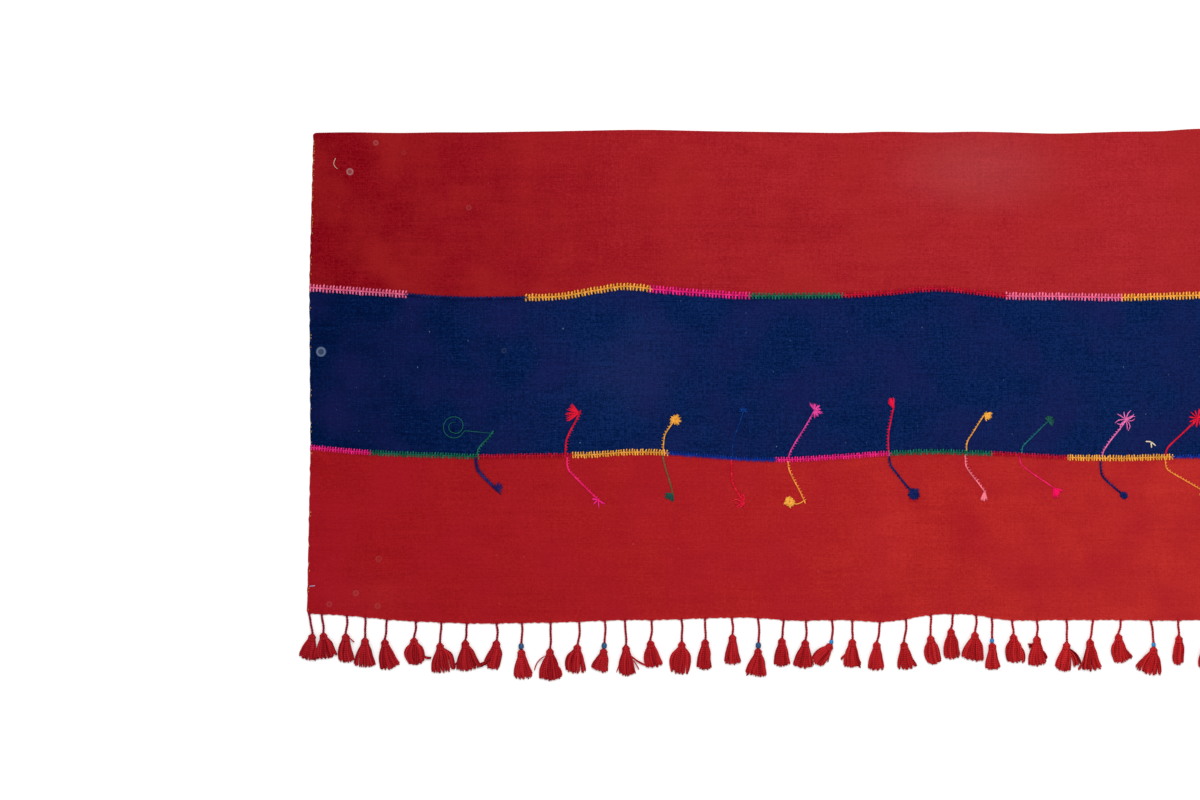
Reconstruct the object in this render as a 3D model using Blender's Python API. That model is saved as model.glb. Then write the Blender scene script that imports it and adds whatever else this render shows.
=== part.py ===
"""A flat-woven runner of three cloths joined side by side, with a row of tassels on one long edge.

Metres, +Z up. X runs along the runner and -Y is the tasselled edge. The floor is at Z = 0.
The origin lies on the floor, under the middle of the runner's outline.
"""

import math
from collections import namedtuple

import bmesh
import bpy
from mathutils import Vector

MM = 0.001

# Driving dimensions of the cloths
LENGTH = 2.200
UPPER_WIDTH = 0.276
MIDDLE_WIDTH = 0.274
LOWER_WIDTH = 0.279
CLOTH_THICKNESS = 0.002
PIECE_GAP = 0.0003
CORNER_DRAW = 0.004

# The mean line of each long edge and join, from the tasselled hem up
HEM_Y = -0.365
LINE_Y = {
    "hem": HEM_Y,
    "lower_join": HEM_Y + LOWER_WIDTH,
    "upper_join": HEM_Y + LOWER_WIDTH + MIDDLE_WIDTH,
    "top": HEM_Y + LOWER_WIDTH + MIDDLE_WIDTH + UPPER_WIDTH,
}

# How far each line strays from its mean, in mm, at stations along the length. The hand-woven
# cloths were never straight: the joins hump and sag by up to 14 mm.
Station = namedtuple("Station", "x top upper_join lower_join hem")
STATIONS = [
    Station(-1100, -2, 11, 14, 10),
    Station(-1032, -1, 6, 7, 6),
    Station(-947, -2, 0, 2, -2),
    Station(-879, -1, -5, 0, -5),
    Station(-818, -1, -7, -2, -7),
    Station(-740, 0, -6, -1, -6),
    Station(-675, 1, -4, 0, -5),
    Station(-621, 2, 5, 1, -3),
    Station(-565, 3, 13, 5, -1),
    Station(-514, 3, 8, 5, -1),
    Station(-423, 1, 1, -2, 2),
    Station(-352, 0, -3, -7, 3),
    Station(-276, -1, -3, -7, -2),
    Station(-194, -2, -2, -2, -1),
    Station(-121, 0, 2, 3, -4),
    Station(-39, -1, 9, 6, 8),
    Station(25, 0, 4, 4, 8),
    Station(85, -1, -3, 2, -1),
    Station(172, -3, -4, -3, -1),
    Station(277, 0, -6, -5, -1),
    Station(345, 1, -4, -3, -2),
    Station(413, 5, -2, -2, -1),
    Station(520, 2, 1, -1, 1),
    Station(660, 0, 3, 2, 2),
    Station(820, -2, -1, 1, -1),
    Station(960, 0, -3, -2, -3),
    Station(1100, 1, 0, 0, 0),
]

# How far the left end leans in or out where each line meets it, in mm
LEFT_END = {"top": 6, "upper_join": -1, "lower_join": 1, "hem": -5}

# Soft ripples where the cloth stands off the floor: middle, the ridge's turn from X, half sizes, height
Ripple = namedtuple("Ripple", "x y turn half_length half_width height")
RIPPLES = [
    Ripple(-905, 352, 80, 95, 48, 2.5),
    Ripple(-575, 345, 96, 100, 55, 4.0),
    Ripple(-215, 350, 84, 90, 50, 2.5),
    Ripple(212, 300, 14, 90, 42, 2.5),
    Ripple(640, 340, 92, 95, 52, 3.0),
    Ripple(-640, 62, 88, 95, 52, 2.5),
    Ripple(-150, 55, 98, 90, 50, 2.5),
    Ripple(470, 48, 84, 95, 50, 2.5),
    Ripple(-740, -238, 78, 90, 48, 2.5),
    Ripple(-75, -262, 62, 85, 42, 3.5),
    Ripple(28, -240, 104, 95, 42, 3.5),
    Ripple(560, -235, 90, 90, 50, 2.5),
]

CLOTH_STEP = 0.020
CLOTH_ROWS = 12
FLAT_ANGLE = math.radians(0.2)

# The needlework band that covers each join: how far out each rib of its section lies, and how high
BAND_SECTION = [(-6.5, 0.6), (-3.2, 1.4), (0.0, 1.8), (3.2, 1.4), (6.5, 0.6)]
BAND_INSET = 0.001

# The tassels' shared build. A crest is a height over the floor.
CORD_THICKNESS = 0.0044
CORD_BEND = 0.03
HEAD_LENGTH = 0.011
CROWN_HALF_WIDTH = 0.0031
CROWN_CREST = 0.0057
BROW_HALF_WIDTH = 0.0058
BROW_CREST = 0.011
NECK_HALF_WIDTH = 0.0050
NECK_CREST = 0.009
DOMING = 0.8
NAVY_BEAD = 0.0088
SKY_BEAD = 0.0064
BEAD_CLEAR_OF_HEAD = 0.2

# The skirt's locks: the places down it, as shares of its length, spread and crest
LOCKS = 5
LOCK_GAP = 0.0006
SKIRT_CREST = 0.0085
TIP_CREST = 0.0035
SHOULDER = 0.42
SHOULDER_SPREAD = 0.82
OUTER_LOCK_SHORTER = 0.13
OUTER_LOCK_LOWER = 0.5
UNEVEN_TIPS = 0.03

# One row for each tassel, in mm: where its cord leaves the hem, the cord's sideways run and drop,
# the skirt's lean, spread and drop below the cord, and the bead on the cord
Tassel = namedtuple("Tassel", "root run cord lean spread drop bead")
TASSELS = [
    Tassel(-1102, 7, 35, -12, 24, 45, 0),
    Tassel(-1080, 3, 32, 2, 39, 44, 0),
    Tassel(-1037, -2, 31, 2, 26, 50, 0),
    Tassel(-1006, 0, 35, 1, 34, 50, 0),
    Tassel(-969, -4, 34, 5, 35, 51, 0),
    Tassel(-920, -3, 28, 3, 35, 42, 0),
    Tassel(-877, -2, 35, 1, 43, 48, 0),
    Tassel(-833, -3, 29, 5, 40, 49, 0),
    Tassel(-783, 1, 29, -9, 31, 49, 0),
    Tassel(-740, -1, 45, 3, 33, 51, NAVY_BEAD),
    Tassel(-691, -1, 44, 1, 40, 53, 0),
    Tassel(-642, -3, 39, -2, 36, 51, 0),
    Tassel(-599, -1, 48, -7, 29, 40, NAVY_BEAD),
    Tassel(-565, 2, 43, 4, 30, 51, 0),
    Tassel(-519, -3, 35, 6, 32, 47, 0),
    Tassel(-469, 1, 38, -2, 37, 54, 0),
    Tassel(-429, 1, 36, -3, 25, 51, 0),
    Tassel(-383, 1, 29, 0, 28, 49, 0),
    Tassel(-339, 1, 52, -4, 38, 46, NAVY_BEAD),
    Tassel(-295, -3, 31, 0, 29, 46, 0),
    Tassel(-257, -1, 33, -4, 36, 47, 0),
    Tassel(-213, -1, 41, -21, 17, 33, SKY_BEAD),
    Tassel(-179, 1, 32, -3, 31, 49, 0),
    Tassel(-131, -6, 34, 0, 32, 49, 0),
    Tassel(-87, -4, 39, 4, 33, 48, 0),
    Tassel(-45, -1, 35, 4, 28, 50, 0),
    Tassel(-7, -4, 25, 2, 27, 50, 0),
    Tassel(32, -2, 29, -3, 38, 48, 0),
    Tassel(58, 1, 43, 0, 20, 45, SKY_BEAD),
    Tassel(93, 2, 24, 2, 31, 49, 0),
    Tassel(135, 0, 27, -2, 32, 52, 0),
    Tassel(185, 1, 38, -1, 40, 49, 0),
    Tassel(231, -6, 33, 4, 33, 55, 0),
    Tassel(278, -5, 24, 6, 31, 47, 0),
    Tassel(328, 6, 45, -9, 43, 46, SKY_BEAD),
    Tassel(375, 1, 26, 0, 20, 50, 0),
    Tassel(423, 1, 34, 1, 36, 50, 0),
]

# Past the last row the tassels go on in plainer copies of the same forms, turned about
PLAIN_COUNT = 16
LAST_ROOT = 1098
PLAIN_SPREAD = 33
PLAIN_LEAN = 6
PLAIN_FIRST_FORM = 8
PLAIN_FORM_STEP = 5

# Colours as linear red, green and blue
MADDER_RED = (0.42, 0.018, 0.020)
INDIGO_BLUE = (0.006, 0.020, 0.110)
GOLD_YARN = (0.70, 0.36, 0.045)
TASSEL_RED = (0.40, 0.014, 0.016)


def clear_scene():
    for thing in list(bpy.data.objects):
        bpy.data.objects.remove(thing)


def wool(name, colour):
    """A matt woollen finish in one colour."""
    material = bpy.data.materials.new(name)
    material.use_nodes = True
    shader = material.node_tree.nodes["Principled BSDF"]
    shader.inputs["Base Color"].default_value = (*colour, 1)
    shader.inputs["Roughness"].default_value = 0.9
    shader.inputs["Metallic"].default_value = 0.0
    return material


def show(name, mesh, material, parent, place=(0, 0, 0)):
    """Puts a finished mesh in the scene as the sub-part of that name."""
    thing = bpy.data.objects.new(name, mesh)
    thing.location = place
    thing.parent = parent
    mesh.materials.append(material)
    bpy.context.scene.collection.objects.link(thing)
    return thing


def slope(line, at):
    """The slope of a line at one of its stations, from its neighbours."""
    before = STATIONS[max(at - 1, 0)]
    after = STATIONS[min(at + 1, len(STATIONS) - 1)]
    return (getattr(after, line) - getattr(before, line)) / (after.x - before.x)


def line_y(line, x):
    """Where an edge or join runs at x, on a smooth cubic through its stations."""
    x_mm = min(max(x / MM, STATIONS[0].x), STATIONS[-1].x)
    at = max(i for i, station in enumerate(STATIONS[:-1]) if station.x <= x_mm)
    start, end = STATIONS[at], STATIONS[at + 1]
    span = end.x - start.x
    t = (x_mm - start.x) / span
    stray = (
        getattr(start, line) * (2 * t**3 - 3 * t**2 + 1)
        + getattr(end, line) * (3 * t**2 - 2 * t**3)
        + slope(line, at) * span * (t**3 - 2 * t**2 + t)
        + slope(line, at + 1) * span * (t**3 - t**2)
    )
    return LINE_Y[line] + stray * MM


def swell(t):
    """1 in the middle, easing to exactly 0 at the rim."""
    return math.cos(math.pi * t / 2) ** 2 if abs(t) < 1 else 0.0


def lift(x, y):
    """How far the cloth's underside stands off the floor."""
    height = 0.0
    for ripple in RIPPLES:
        turn = math.radians(ripple.turn)
        dx = x / MM - ripple.x
        dy = y / MM - ripple.y
        along = (dx * math.cos(turn) + dy * math.sin(turn)) / ripple.half_length
        across = (dy * math.cos(turn) - dx * math.sin(turn)) / ripple.half_width
        height += ripple.height * swell(along) * swell(across)
    return height * MM


def cloth_edge(line, x, inward):
    """The line itself at an open edge, or half a gap inside it at a join."""
    half_gap = PIECE_GAP / 2 if line.endswith("join") else 0.0
    return line_y(line, x) + inward * half_gap


def cloth_point(low_line, high_line, u, v):
    """A point of a cloth's underside, u from end to end and v from its low line to its high one."""
    lean = LEFT_END[low_line] * (1 - v) + LEFT_END[high_line] * v
    left = lean * MM - LENGTH / 2
    x = left + u * (LENGTH / 2 - left)
    y = cloth_edge(low_line, x, 1) * (1 - v) + cloth_edge(high_line, x, -1) * v
    open_corner = u in (0, 1) and (
        (v == 0 and low_line == "hem") or (v == 1 and high_line == "top")
    )
    if open_corner:
        x += CORNER_DRAW * (0.5 - u)
        y += CORNER_DRAW * (0.5 - v)
    return Vector((x, y, lift(x, y)))


def cloth(name, low_line, high_line, material, parent):
    """One cloth: a sheet on its ripples, given its thickness, with its flat stretches left whole."""
    columns = round(LENGTH / CLOTH_STEP)
    sheet = bmesh.new()
    rows = [
        [
            sheet.verts.new(cloth_point(low_line, high_line, i / columns, j / CLOTH_ROWS))
            for i in range(columns + 1)
        ]
        for j in range(CLOTH_ROWS + 1)
    ]
    for low, high in zip(rows, rows[1:]):
        for i in range(columns):
            sheet.faces.new((low[i], low[i + 1], high[i + 1], high[i]))
    mesh = bpy.data.meshes.new(name)
    sheet.to_mesh(mesh)
    sheet.free()
    thing = show(name, mesh, material, parent)
    body = thing.modifiers.new("thickness", "SOLIDIFY")
    body.thickness = CLOTH_THICKNESS
    body.offset = 1
    plain = thing.modifiers.new("flat stretches", "DECIMATE")
    plain.decimate_type = "DISSOLVE"
    plain.angle_limit = FLAT_ANGLE
    return thing


def wall(build, ring, onward):
    """The side faces from one ring of points to the next."""
    for i in range(len(ring)):
        j = (i + 1) % len(ring)
        build.faces.new((ring[i], ring[j], onward[j], onward[i]))


def finish_solid(name, build):
    """Turns the faces outward and writes the mesh."""
    bmesh.ops.recalc_face_normals(build, faces=build.faces)
    mesh = bpy.data.meshes.new(name)
    build.to_mesh(mesh)
    build.free()
    return mesh


def join_band(name, line, material, parent):
    """The raised needlework that lies over a join, from end to end of the runner."""
    left = LEFT_END[line] * MM - LENGTH / 2 + BAND_INSET
    right = LENGTH / 2 - BAND_INSET
    steps = round(LENGTH / CLOTH_STEP)
    under = CLOTH_THICKNESS + PIECE_GAP
    build = bmesh.new()
    rings = []
    for i in range(steps + 1):
        x = left + (right - left) * i / steps
        y = line_y(line, x)
        section = BAND_SECTION + [(BAND_SECTION[-1][0], 0), (BAND_SECTION[0][0], 0)]
        rings.append(
            [build.verts.new((x, y + out * MM, under + crest * MM)) for out, crest in section]
        )
    for ring, onward in zip(rings, rings[1:]):
        wall(build, ring, onward)
    build.faces.new(rings[0])
    build.faces.new(rings[-1])
    thing = show(name, finish_solid(name, build), material, parent)
    plain = thing.modifiers.new("flat stretches", "DECIMATE")
    plain.decimate_type = "DISSOLVE"
    plain.angle_limit = FLAT_ANGLE
    return thing


def tassel_ring(build, middle, side, shares, half_width, crest):
    """The top and bottom points across a tassel at one place. Its underside lies on the floor."""
    tops = []
    bottoms = []
    for share in shares:
        out = middle + side * (share * half_width)
        dome = math.sqrt(1 - DOMING * share**2)
        tops.append(build.verts.new((out.x, out.y, crest * dome)))
        bottoms.append(build.verts.new((out.x, out.y, 0)))
    return tops, bottoms


def quad(tops, bottoms, i):
    """The ring of four points round one lock's share of a tassel ring."""
    return [tops[i], tops[i + 1], bottoms[i + 1], bottoms[i]]


def square(build, middle, side, half_width, crest):
    """A ring of four points, level on the floor."""
    near = middle - side * half_width
    far = middle + side * half_width
    return [
        build.verts.new((near.x, near.y, crest)),
        build.verts.new((far.x, far.y, crest)),
        build.verts.new((far.x, far.y, 0)),
        build.verts.new((near.x, near.y, 0)),
    ]


def cord_sections(run, drop, bead):
    """The cord's sections from the head up to the hem, with the bead as a bulge just above the head."""
    thin = CORD_THICKNESS / 2
    whole = Vector((run, -drop, 0))
    sections = []
    if bead:
        near = 1 - BEAD_CLEAR_OF_HEAD * bead / drop
        far = near - bead / drop
        sections = [(near, thin), ((near + far) / 2, bead / 2), (far, thin)]
    sections += [(0.45, thin), (0.0, thin)]
    bend = Vector((drop * CORD_BEND, 0, 0))
    return [(whole * t + bend * math.sin(math.pi * t), half) for t, half in sections]


def unevenness(lock, number):
    """A value from -1 to 1 that differs from lock to lock and from tassel to tassel."""
    return math.sin(2.3 * lock + 1.7 * number)


def hem_edge(x):
    """The cloth's own edge at x, which runs straight from one column of the sheet to the next."""
    columns = round(LENGTH / CLOTH_STEP)
    edge = [cloth_point("hem", "lower_join", i / columns, 0) for i in range(columns + 1)]
    at = max([i for i in range(columns) if edge[i].x <= x], default=0)
    start, end = edge[at], edge[at + 1]
    t = min(max((x - start.x) / (end.x - start.x), 0), 1)
    return start.y + (end.y - start.y) * t


def tassel(name, row, number, material, parent):
    """A cord, a bound head and a skirt of locks that are fused at the neck, lying on the floor."""
    root_x = row.root * MM
    half_cord = CORD_THICKNESS / 2
    edge = min(hem_edge(root_x - half_cord), hem_edge(root_x), hem_edge(root_x + half_cord))
    root = Vector((root_x, edge - PIECE_GAP, 0))
    head_top = Vector((row.run * MM, -row.cord * MM, 0))
    hang = Vector((row.lean * MM, -row.drop * MM, 0))
    axis = hang.normalized()
    side = Vector((-axis.y, axis.x, 0))
    across = Vector((1, 0, 0))
    even = [2 * i / LOCKS - 1 for i in range(LOCKS + 1)]
    collar = [-1, -0.85, -0.7, 0.7, 0.85, 1]
    build = bmesh.new()

    brow_middle = head_top + axis * (HEAD_LENGTH / 2)
    neck_middle = head_top + axis * HEAD_LENGTH
    crown = tassel_ring(build, head_top, side, collar, CROWN_HALF_WIDTH, CROWN_CREST)
    brow = tassel_ring(build, brow_middle, side, even, BROW_HALF_WIDTH, BROW_CREST)
    neck = tassel_ring(build, neck_middle, side, even, NECK_HALF_WIDTH, NECK_CREST)
    for ring, onward in ((crown, brow), (brow, neck)):
        wall(build, ring[0] + ring[1][::-1], onward[0] + onward[1][::-1])

    middle_lock = LOCKS // 2
    for i in range(LOCKS):
        if i != middle_lock:
            build.faces.new(quad(*crown, i))
    ring = quad(*crown, middle_lock)
    for middle, half in cord_sections(head_top.x, -head_top.y, row.bead):
        onward = square(build, middle, across, half, half * 2)
        wall(build, ring, onward)
        ring = onward
    build.faces.new(ring)

    half_spread = row.spread * MM / 2
    skirt = hang.length - HEAD_LENGTH
    for i in range(LOCKS):
        place = (2 * i + 1) / LOCKS - 1
        shorter = OUTER_LOCK_SHORTER * place**2 + UNEVEN_TIPS * unevenness(i, number)
        reach = skirt * (1 - shorter)
        crest = SKIRT_CREST * math.sqrt(1 - OUTER_LOCK_LOWER * place**2)
        ring = quad(*neck, i)
        for t, opened, top in ((SHOULDER, SHOULDER_SPREAD, crest), (1, 1, TIP_CREST)):
            middle = neck_middle + axis * (reach * t) + side * (place * half_spread * opened)
            half = half_spread * opened / LOCKS - LOCK_GAP
            onward = square(build, middle, side, half, top)
            wall(build, ring, onward)
            ring = onward
        build.faces.new(ring)
    return show(name, finish_solid(name, build), material, parent, root)


def all_tassels():
    """The tassels row by row, and then the plainer ones up to the far corner."""
    first = TASSELS[-1].root
    pitch = (LAST_ROOT - first) / PLAIN_COUNT
    plain = []
    for i in range(PLAIN_COUNT):
        form = TASSELS[(PLAIN_FIRST_FORM + PLAIN_FORM_STEP * i) % len(TASSELS)]
        plain.append(
            form._replace(
                root=first + pitch * (i + 1),
                run=-form.run,
                lean=max(min(-form.lean, PLAIN_LEAN), -PLAIN_LEAN),
                spread=min(form.spread, PLAIN_SPREAD),
            )
        )
    return TASSELS + plain


def main():
    clear_scene()
    runner = bpy.data.objects.new("runner", None)
    bpy.context.scene.collection.objects.link(runner)
    red = wool("madder red weave", MADDER_RED)
    blue = wool("indigo blue weave", INDIGO_BLUE)
    gold = wool("needlework yarn", GOLD_YARN)
    tassel_red = wool("tassel wool", TASSEL_RED)

    cloth("upper_cloth", "upper_join", "top", red, runner)
    cloth("middle_cloth", "lower_join", "upper_join", blue, runner)
    cloth("lower_cloth", "hem", "lower_join", red, runner)
    join_band("upper_join", "upper_join", gold, runner)
    join_band("lower_join", "lower_join", gold, runner)
    for number, row in enumerate(all_tassels(), 1):
        tassel(f"tassel_{number:02d}", row, number, tassel_red, runner)


main()
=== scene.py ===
"""A flat-woven wool runner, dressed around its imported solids.

Metres, +Z up, as the frame has it: X runs along the runner, -Y is the tasselled edge, and the floor is at
Z = 0. Tables and the ripples are in millimetres.
"""

import math
from collections import namedtuple

import bmesh
import bpy
import numpy as np
from bpy.props import FloatProperty, FloatVectorProperty, IntProperty, PointerProperty
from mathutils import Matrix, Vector


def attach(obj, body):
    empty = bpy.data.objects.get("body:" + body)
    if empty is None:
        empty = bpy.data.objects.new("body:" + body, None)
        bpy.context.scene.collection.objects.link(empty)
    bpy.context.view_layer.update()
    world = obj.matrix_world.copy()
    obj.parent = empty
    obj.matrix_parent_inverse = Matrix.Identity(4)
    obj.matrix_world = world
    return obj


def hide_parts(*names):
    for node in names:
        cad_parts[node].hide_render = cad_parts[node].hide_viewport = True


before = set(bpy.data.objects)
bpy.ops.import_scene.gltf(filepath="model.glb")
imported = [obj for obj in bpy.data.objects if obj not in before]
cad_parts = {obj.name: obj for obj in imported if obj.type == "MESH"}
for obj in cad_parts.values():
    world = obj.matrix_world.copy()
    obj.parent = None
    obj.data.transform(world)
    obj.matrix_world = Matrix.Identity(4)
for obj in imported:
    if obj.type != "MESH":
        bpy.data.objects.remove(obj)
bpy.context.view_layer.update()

bl_info = {
    "name": "Tasselled flat-woven runner",
    "version": (1, 0, 0),
    "blender": (4, 5, 0),
    "location": "3D View > Sidebar > Runner",
    "description": "Three woven wool cloths with needlework joins, embroidered sprigs and tassels",
    "category": "Object",
}

MM = 0.001

# The cloths, as their solids have them
LENGTH = 2.200
UPPER_WIDTH = 0.276
MIDDLE_WIDTH = 0.274
LOWER_WIDTH = 0.279
HALF_GAP = 0.00015
CORNER_RADIUS = 0.005
HEM_Y = -0.365
LINE_Y = {
    "hem": HEM_Y,
    "lower_join": HEM_Y + LOWER_WIDTH,
    "upper_join": HEM_Y + LOWER_WIDTH + MIDDLE_WIDTH,
    "top": HEM_Y + LOWER_WIDTH + MIDDLE_WIDTH + UPPER_WIDTH,
}

# How far each line strays from its mean at stations along the length
Station = namedtuple("Station", "x top upper_join lower_join hem")
STATIONS = [
    Station(-1100, -2, 11, 14, 10),
    Station(-1032, -1, 6, 7, 6),
    Station(-947, -2, 0, 2, -2),
    Station(-879, -1, -5, 0, -5),
    Station(-818, -1, -7, -2, -7),
    Station(-740, 0, -6, -1, -6),
    Station(-675, 1, -4, 0, -5),
    Station(-621, 2, 5, 1, -3),
    Station(-565, 3, 13, 5, -1),
    Station(-514, 3, 8, 5, -1),
    Station(-423, 1, 1, -2, 2),
    Station(-352, 0, -3, -7, 3),
    Station(-276, -1, -3, -7, -2),
    Station(-194, -2, -2, -2, -1),
    Station(-121, 0, 2, 3, -4),
    Station(-39, -1, 9, 6, 8),
    Station(25, 0, 4, 4, 8),
    Station(85, -1, -3, 2, -1),
    Station(172, -3, -4, -3, -1),
    Station(277, 0, -6, -5, -1),
    Station(345, 1, -4, -3, -2),
    Station(413, 5, -2, -2, -1),
    Station(520, 2, 1, -1, 1),
    Station(660, 0, 3, 2, 2),
    Station(820, -2, -1, 1, -1),
    Station(960, 0, -3, -2, -3),
    Station(1100, 1, 0, 0, 0),
]
LEFT_END = {"top": 6, "upper_join": -1, "lower_join": 1, "hem": -5}

# The solids' ripples, and under them the sharper creases that the cloth kept from being folded
Ripple = namedtuple("Ripple", "x y turn half_length half_width height")
RIPPLES = [
    Ripple(-905, 352, 80, 95, 48, 2.5),
    Ripple(-575, 345, 96, 100, 55, 4.0),
    Ripple(-215, 350, 84, 90, 50, 2.5),
    Ripple(212, 300, 14, 90, 42, 2.5),
    Ripple(640, 340, 92, 95, 52, 3.0),
    Ripple(-640, 62, 88, 95, 52, 2.5),
    Ripple(-150, 55, 98, 90, 50, 2.5),
    Ripple(470, 48, 84, 95, 50, 2.5),
    Ripple(-740, -238, 78, 90, 48, 2.5),
    Ripple(-75, -262, 62, 85, 42, 3.5),
    Ripple(28, -240, 104, 95, 42, 3.5),
    Ripple(560, -235, 90, 90, 50, 2.5),
]
CREASES = [
    Ripple(-70, -256, 52, 34, 9, 1.2),
    Ripple(-98, -318, 12, 62, 8, 1.0),
    Ripple(18, -272, 105, 55, 8, 1.3),
    Ripple(238, 286, 8, 48, 9, 0.9),
    Ripple(-392, 262, 93, 80, 12, 0.8),
    Ripple(-508, -170, 88, 70, 14, 0.7),
    Ripple(312, -190, 80, 75, 12, 0.8),
]
COLUMN_STEP = 3.4
ROW_STEP = 8.5
EDGE_ROWS = [0.0, 0.5, 1.2, 2.2, 3.6, 5.6]
UNDULATION = 0.4
PUCKER = 0.5
PUCKER_REACH = 9.0
SELVEDGE_KNOBS = 0.9
CORD_DRAW = 1.0
CORD_DRAW_REACH = 9.0
CORD_WANDER = 0.9
END_WAVER = 0.8

# How washed out each cloth is along its length, from 0, its deepest dye, to 1
Wash = namedtuple("Wash", "x upper middle lower")
WASHES = [
    Wash(-1100, 0.12, 0.14, 0.15),
    Wash(-620, 0.50, 0.64, 0.38),
    Wash(-350, 0.64, 0.60, 0.52),
    Wash(350, 0.78, 0.70, 0.80),
    Wash(1100, 0.60, 0.55, 0.62),
]

# Patches where the cloth is washed out more, or has a chalky bloom on it
Fade = namedtuple("Fade", "x y half_length half_width wash chalk")
FADES = [
    Fade(35, 400, 210, 105, 0.02, 0.034),
    Fade(-560, 48, 130, 95, 0.14, 0.004),
    Fade(-530, 120, 90, 60, 0.12, 0.002),
    Fade(-120, -230, 70, 150, 0.16, 0),
    Fade(10, -210, 60, 120, -0.12, 0),
    Fade(-985, -330, 130, 60, 0.10, 0.003),
    Fade(690, 330, 180, 90, 0.10, 0.02),
    Fade(760, 30, 150, 90, 0.12, 0.003),
    Fade(-300, 300, 190, 60, -0.08, 0),
    Fade(-73, -156, 15, 15, -0.55, 0),
]

# Round marks left by drops of water: middle, radius, strength from 0 to 1
Mark = namedtuple("Mark", "x y radius strength")
UPPER_MARKS = [
    Mark(-1032, 396, 6.5, 0.34),
    Mark(-988, 445, 5.0, 0.14),
    Mark(-830, 335, 5.0, 0.06),
    Mark(-940, 428, 4.5, 0.03),
]
MIDDLE_MARKS = [Mark(-1081, 90, 9.0, 0.34), Mark(-770, 92, 5.0, 0.05)]
LOWER_MARKS = [
    Mark(-983, -262, 6.0, 0.05),
    Mark(-1022, -320, 5.5, 0.08),
    Mark(-1067, -339, 5.5, 0.06),
    Mark(-985, -342, 5.5, 0.06),
]

# Each join is worked in runs of one colour, each from its x to the next, with the share of the full
# reach that its stitches have
Run = namedtuple("Run", "x yarn reach", defaults=(None, 1))
UPPER_RUNS = [
    Run(-1099, "rose", 0.88),
    Run(-937, "navy", 0.36),
    Run(-733, "gold", 0.83),
    Run(-522, "magenta", 0.88),
    Run(-354, "green", 0.72),
    Run(-196, "madder", 0.62),
    Run(83, "rose", 0.88),
    Run(279, "gold", 0.83),
    Run(488, "magenta", 0.88),
    Run(655, "green", 0.72),
    Run(815, "madder", 0.62),
    Run(965, "rose", 0.88),
    Run(1099),
]
LOWER_RUNS = [
    Run(-1097, "magenta", 0.64),
    Run(-998, "green", 0.68),
    Run(-814, "madder", 0.54),
    Run(-653, "gold", 0.76),
    Run(-493, "royal", 0.5),
    Run(-308, "magenta", 0.66),
    Run(-116, "green", 0.68),
    Run(58, "madder", 0.54),
    Run(187, "gold", 0.74),
    Run(365, "royal", 0.5),
    Run(545, "magenta", 0.66),
    Run(730, "green", 0.68),
    Run(900, "madder", 0.54),
    Run(1010, "gold", 0.74),
    Run(1099),
]

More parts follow.
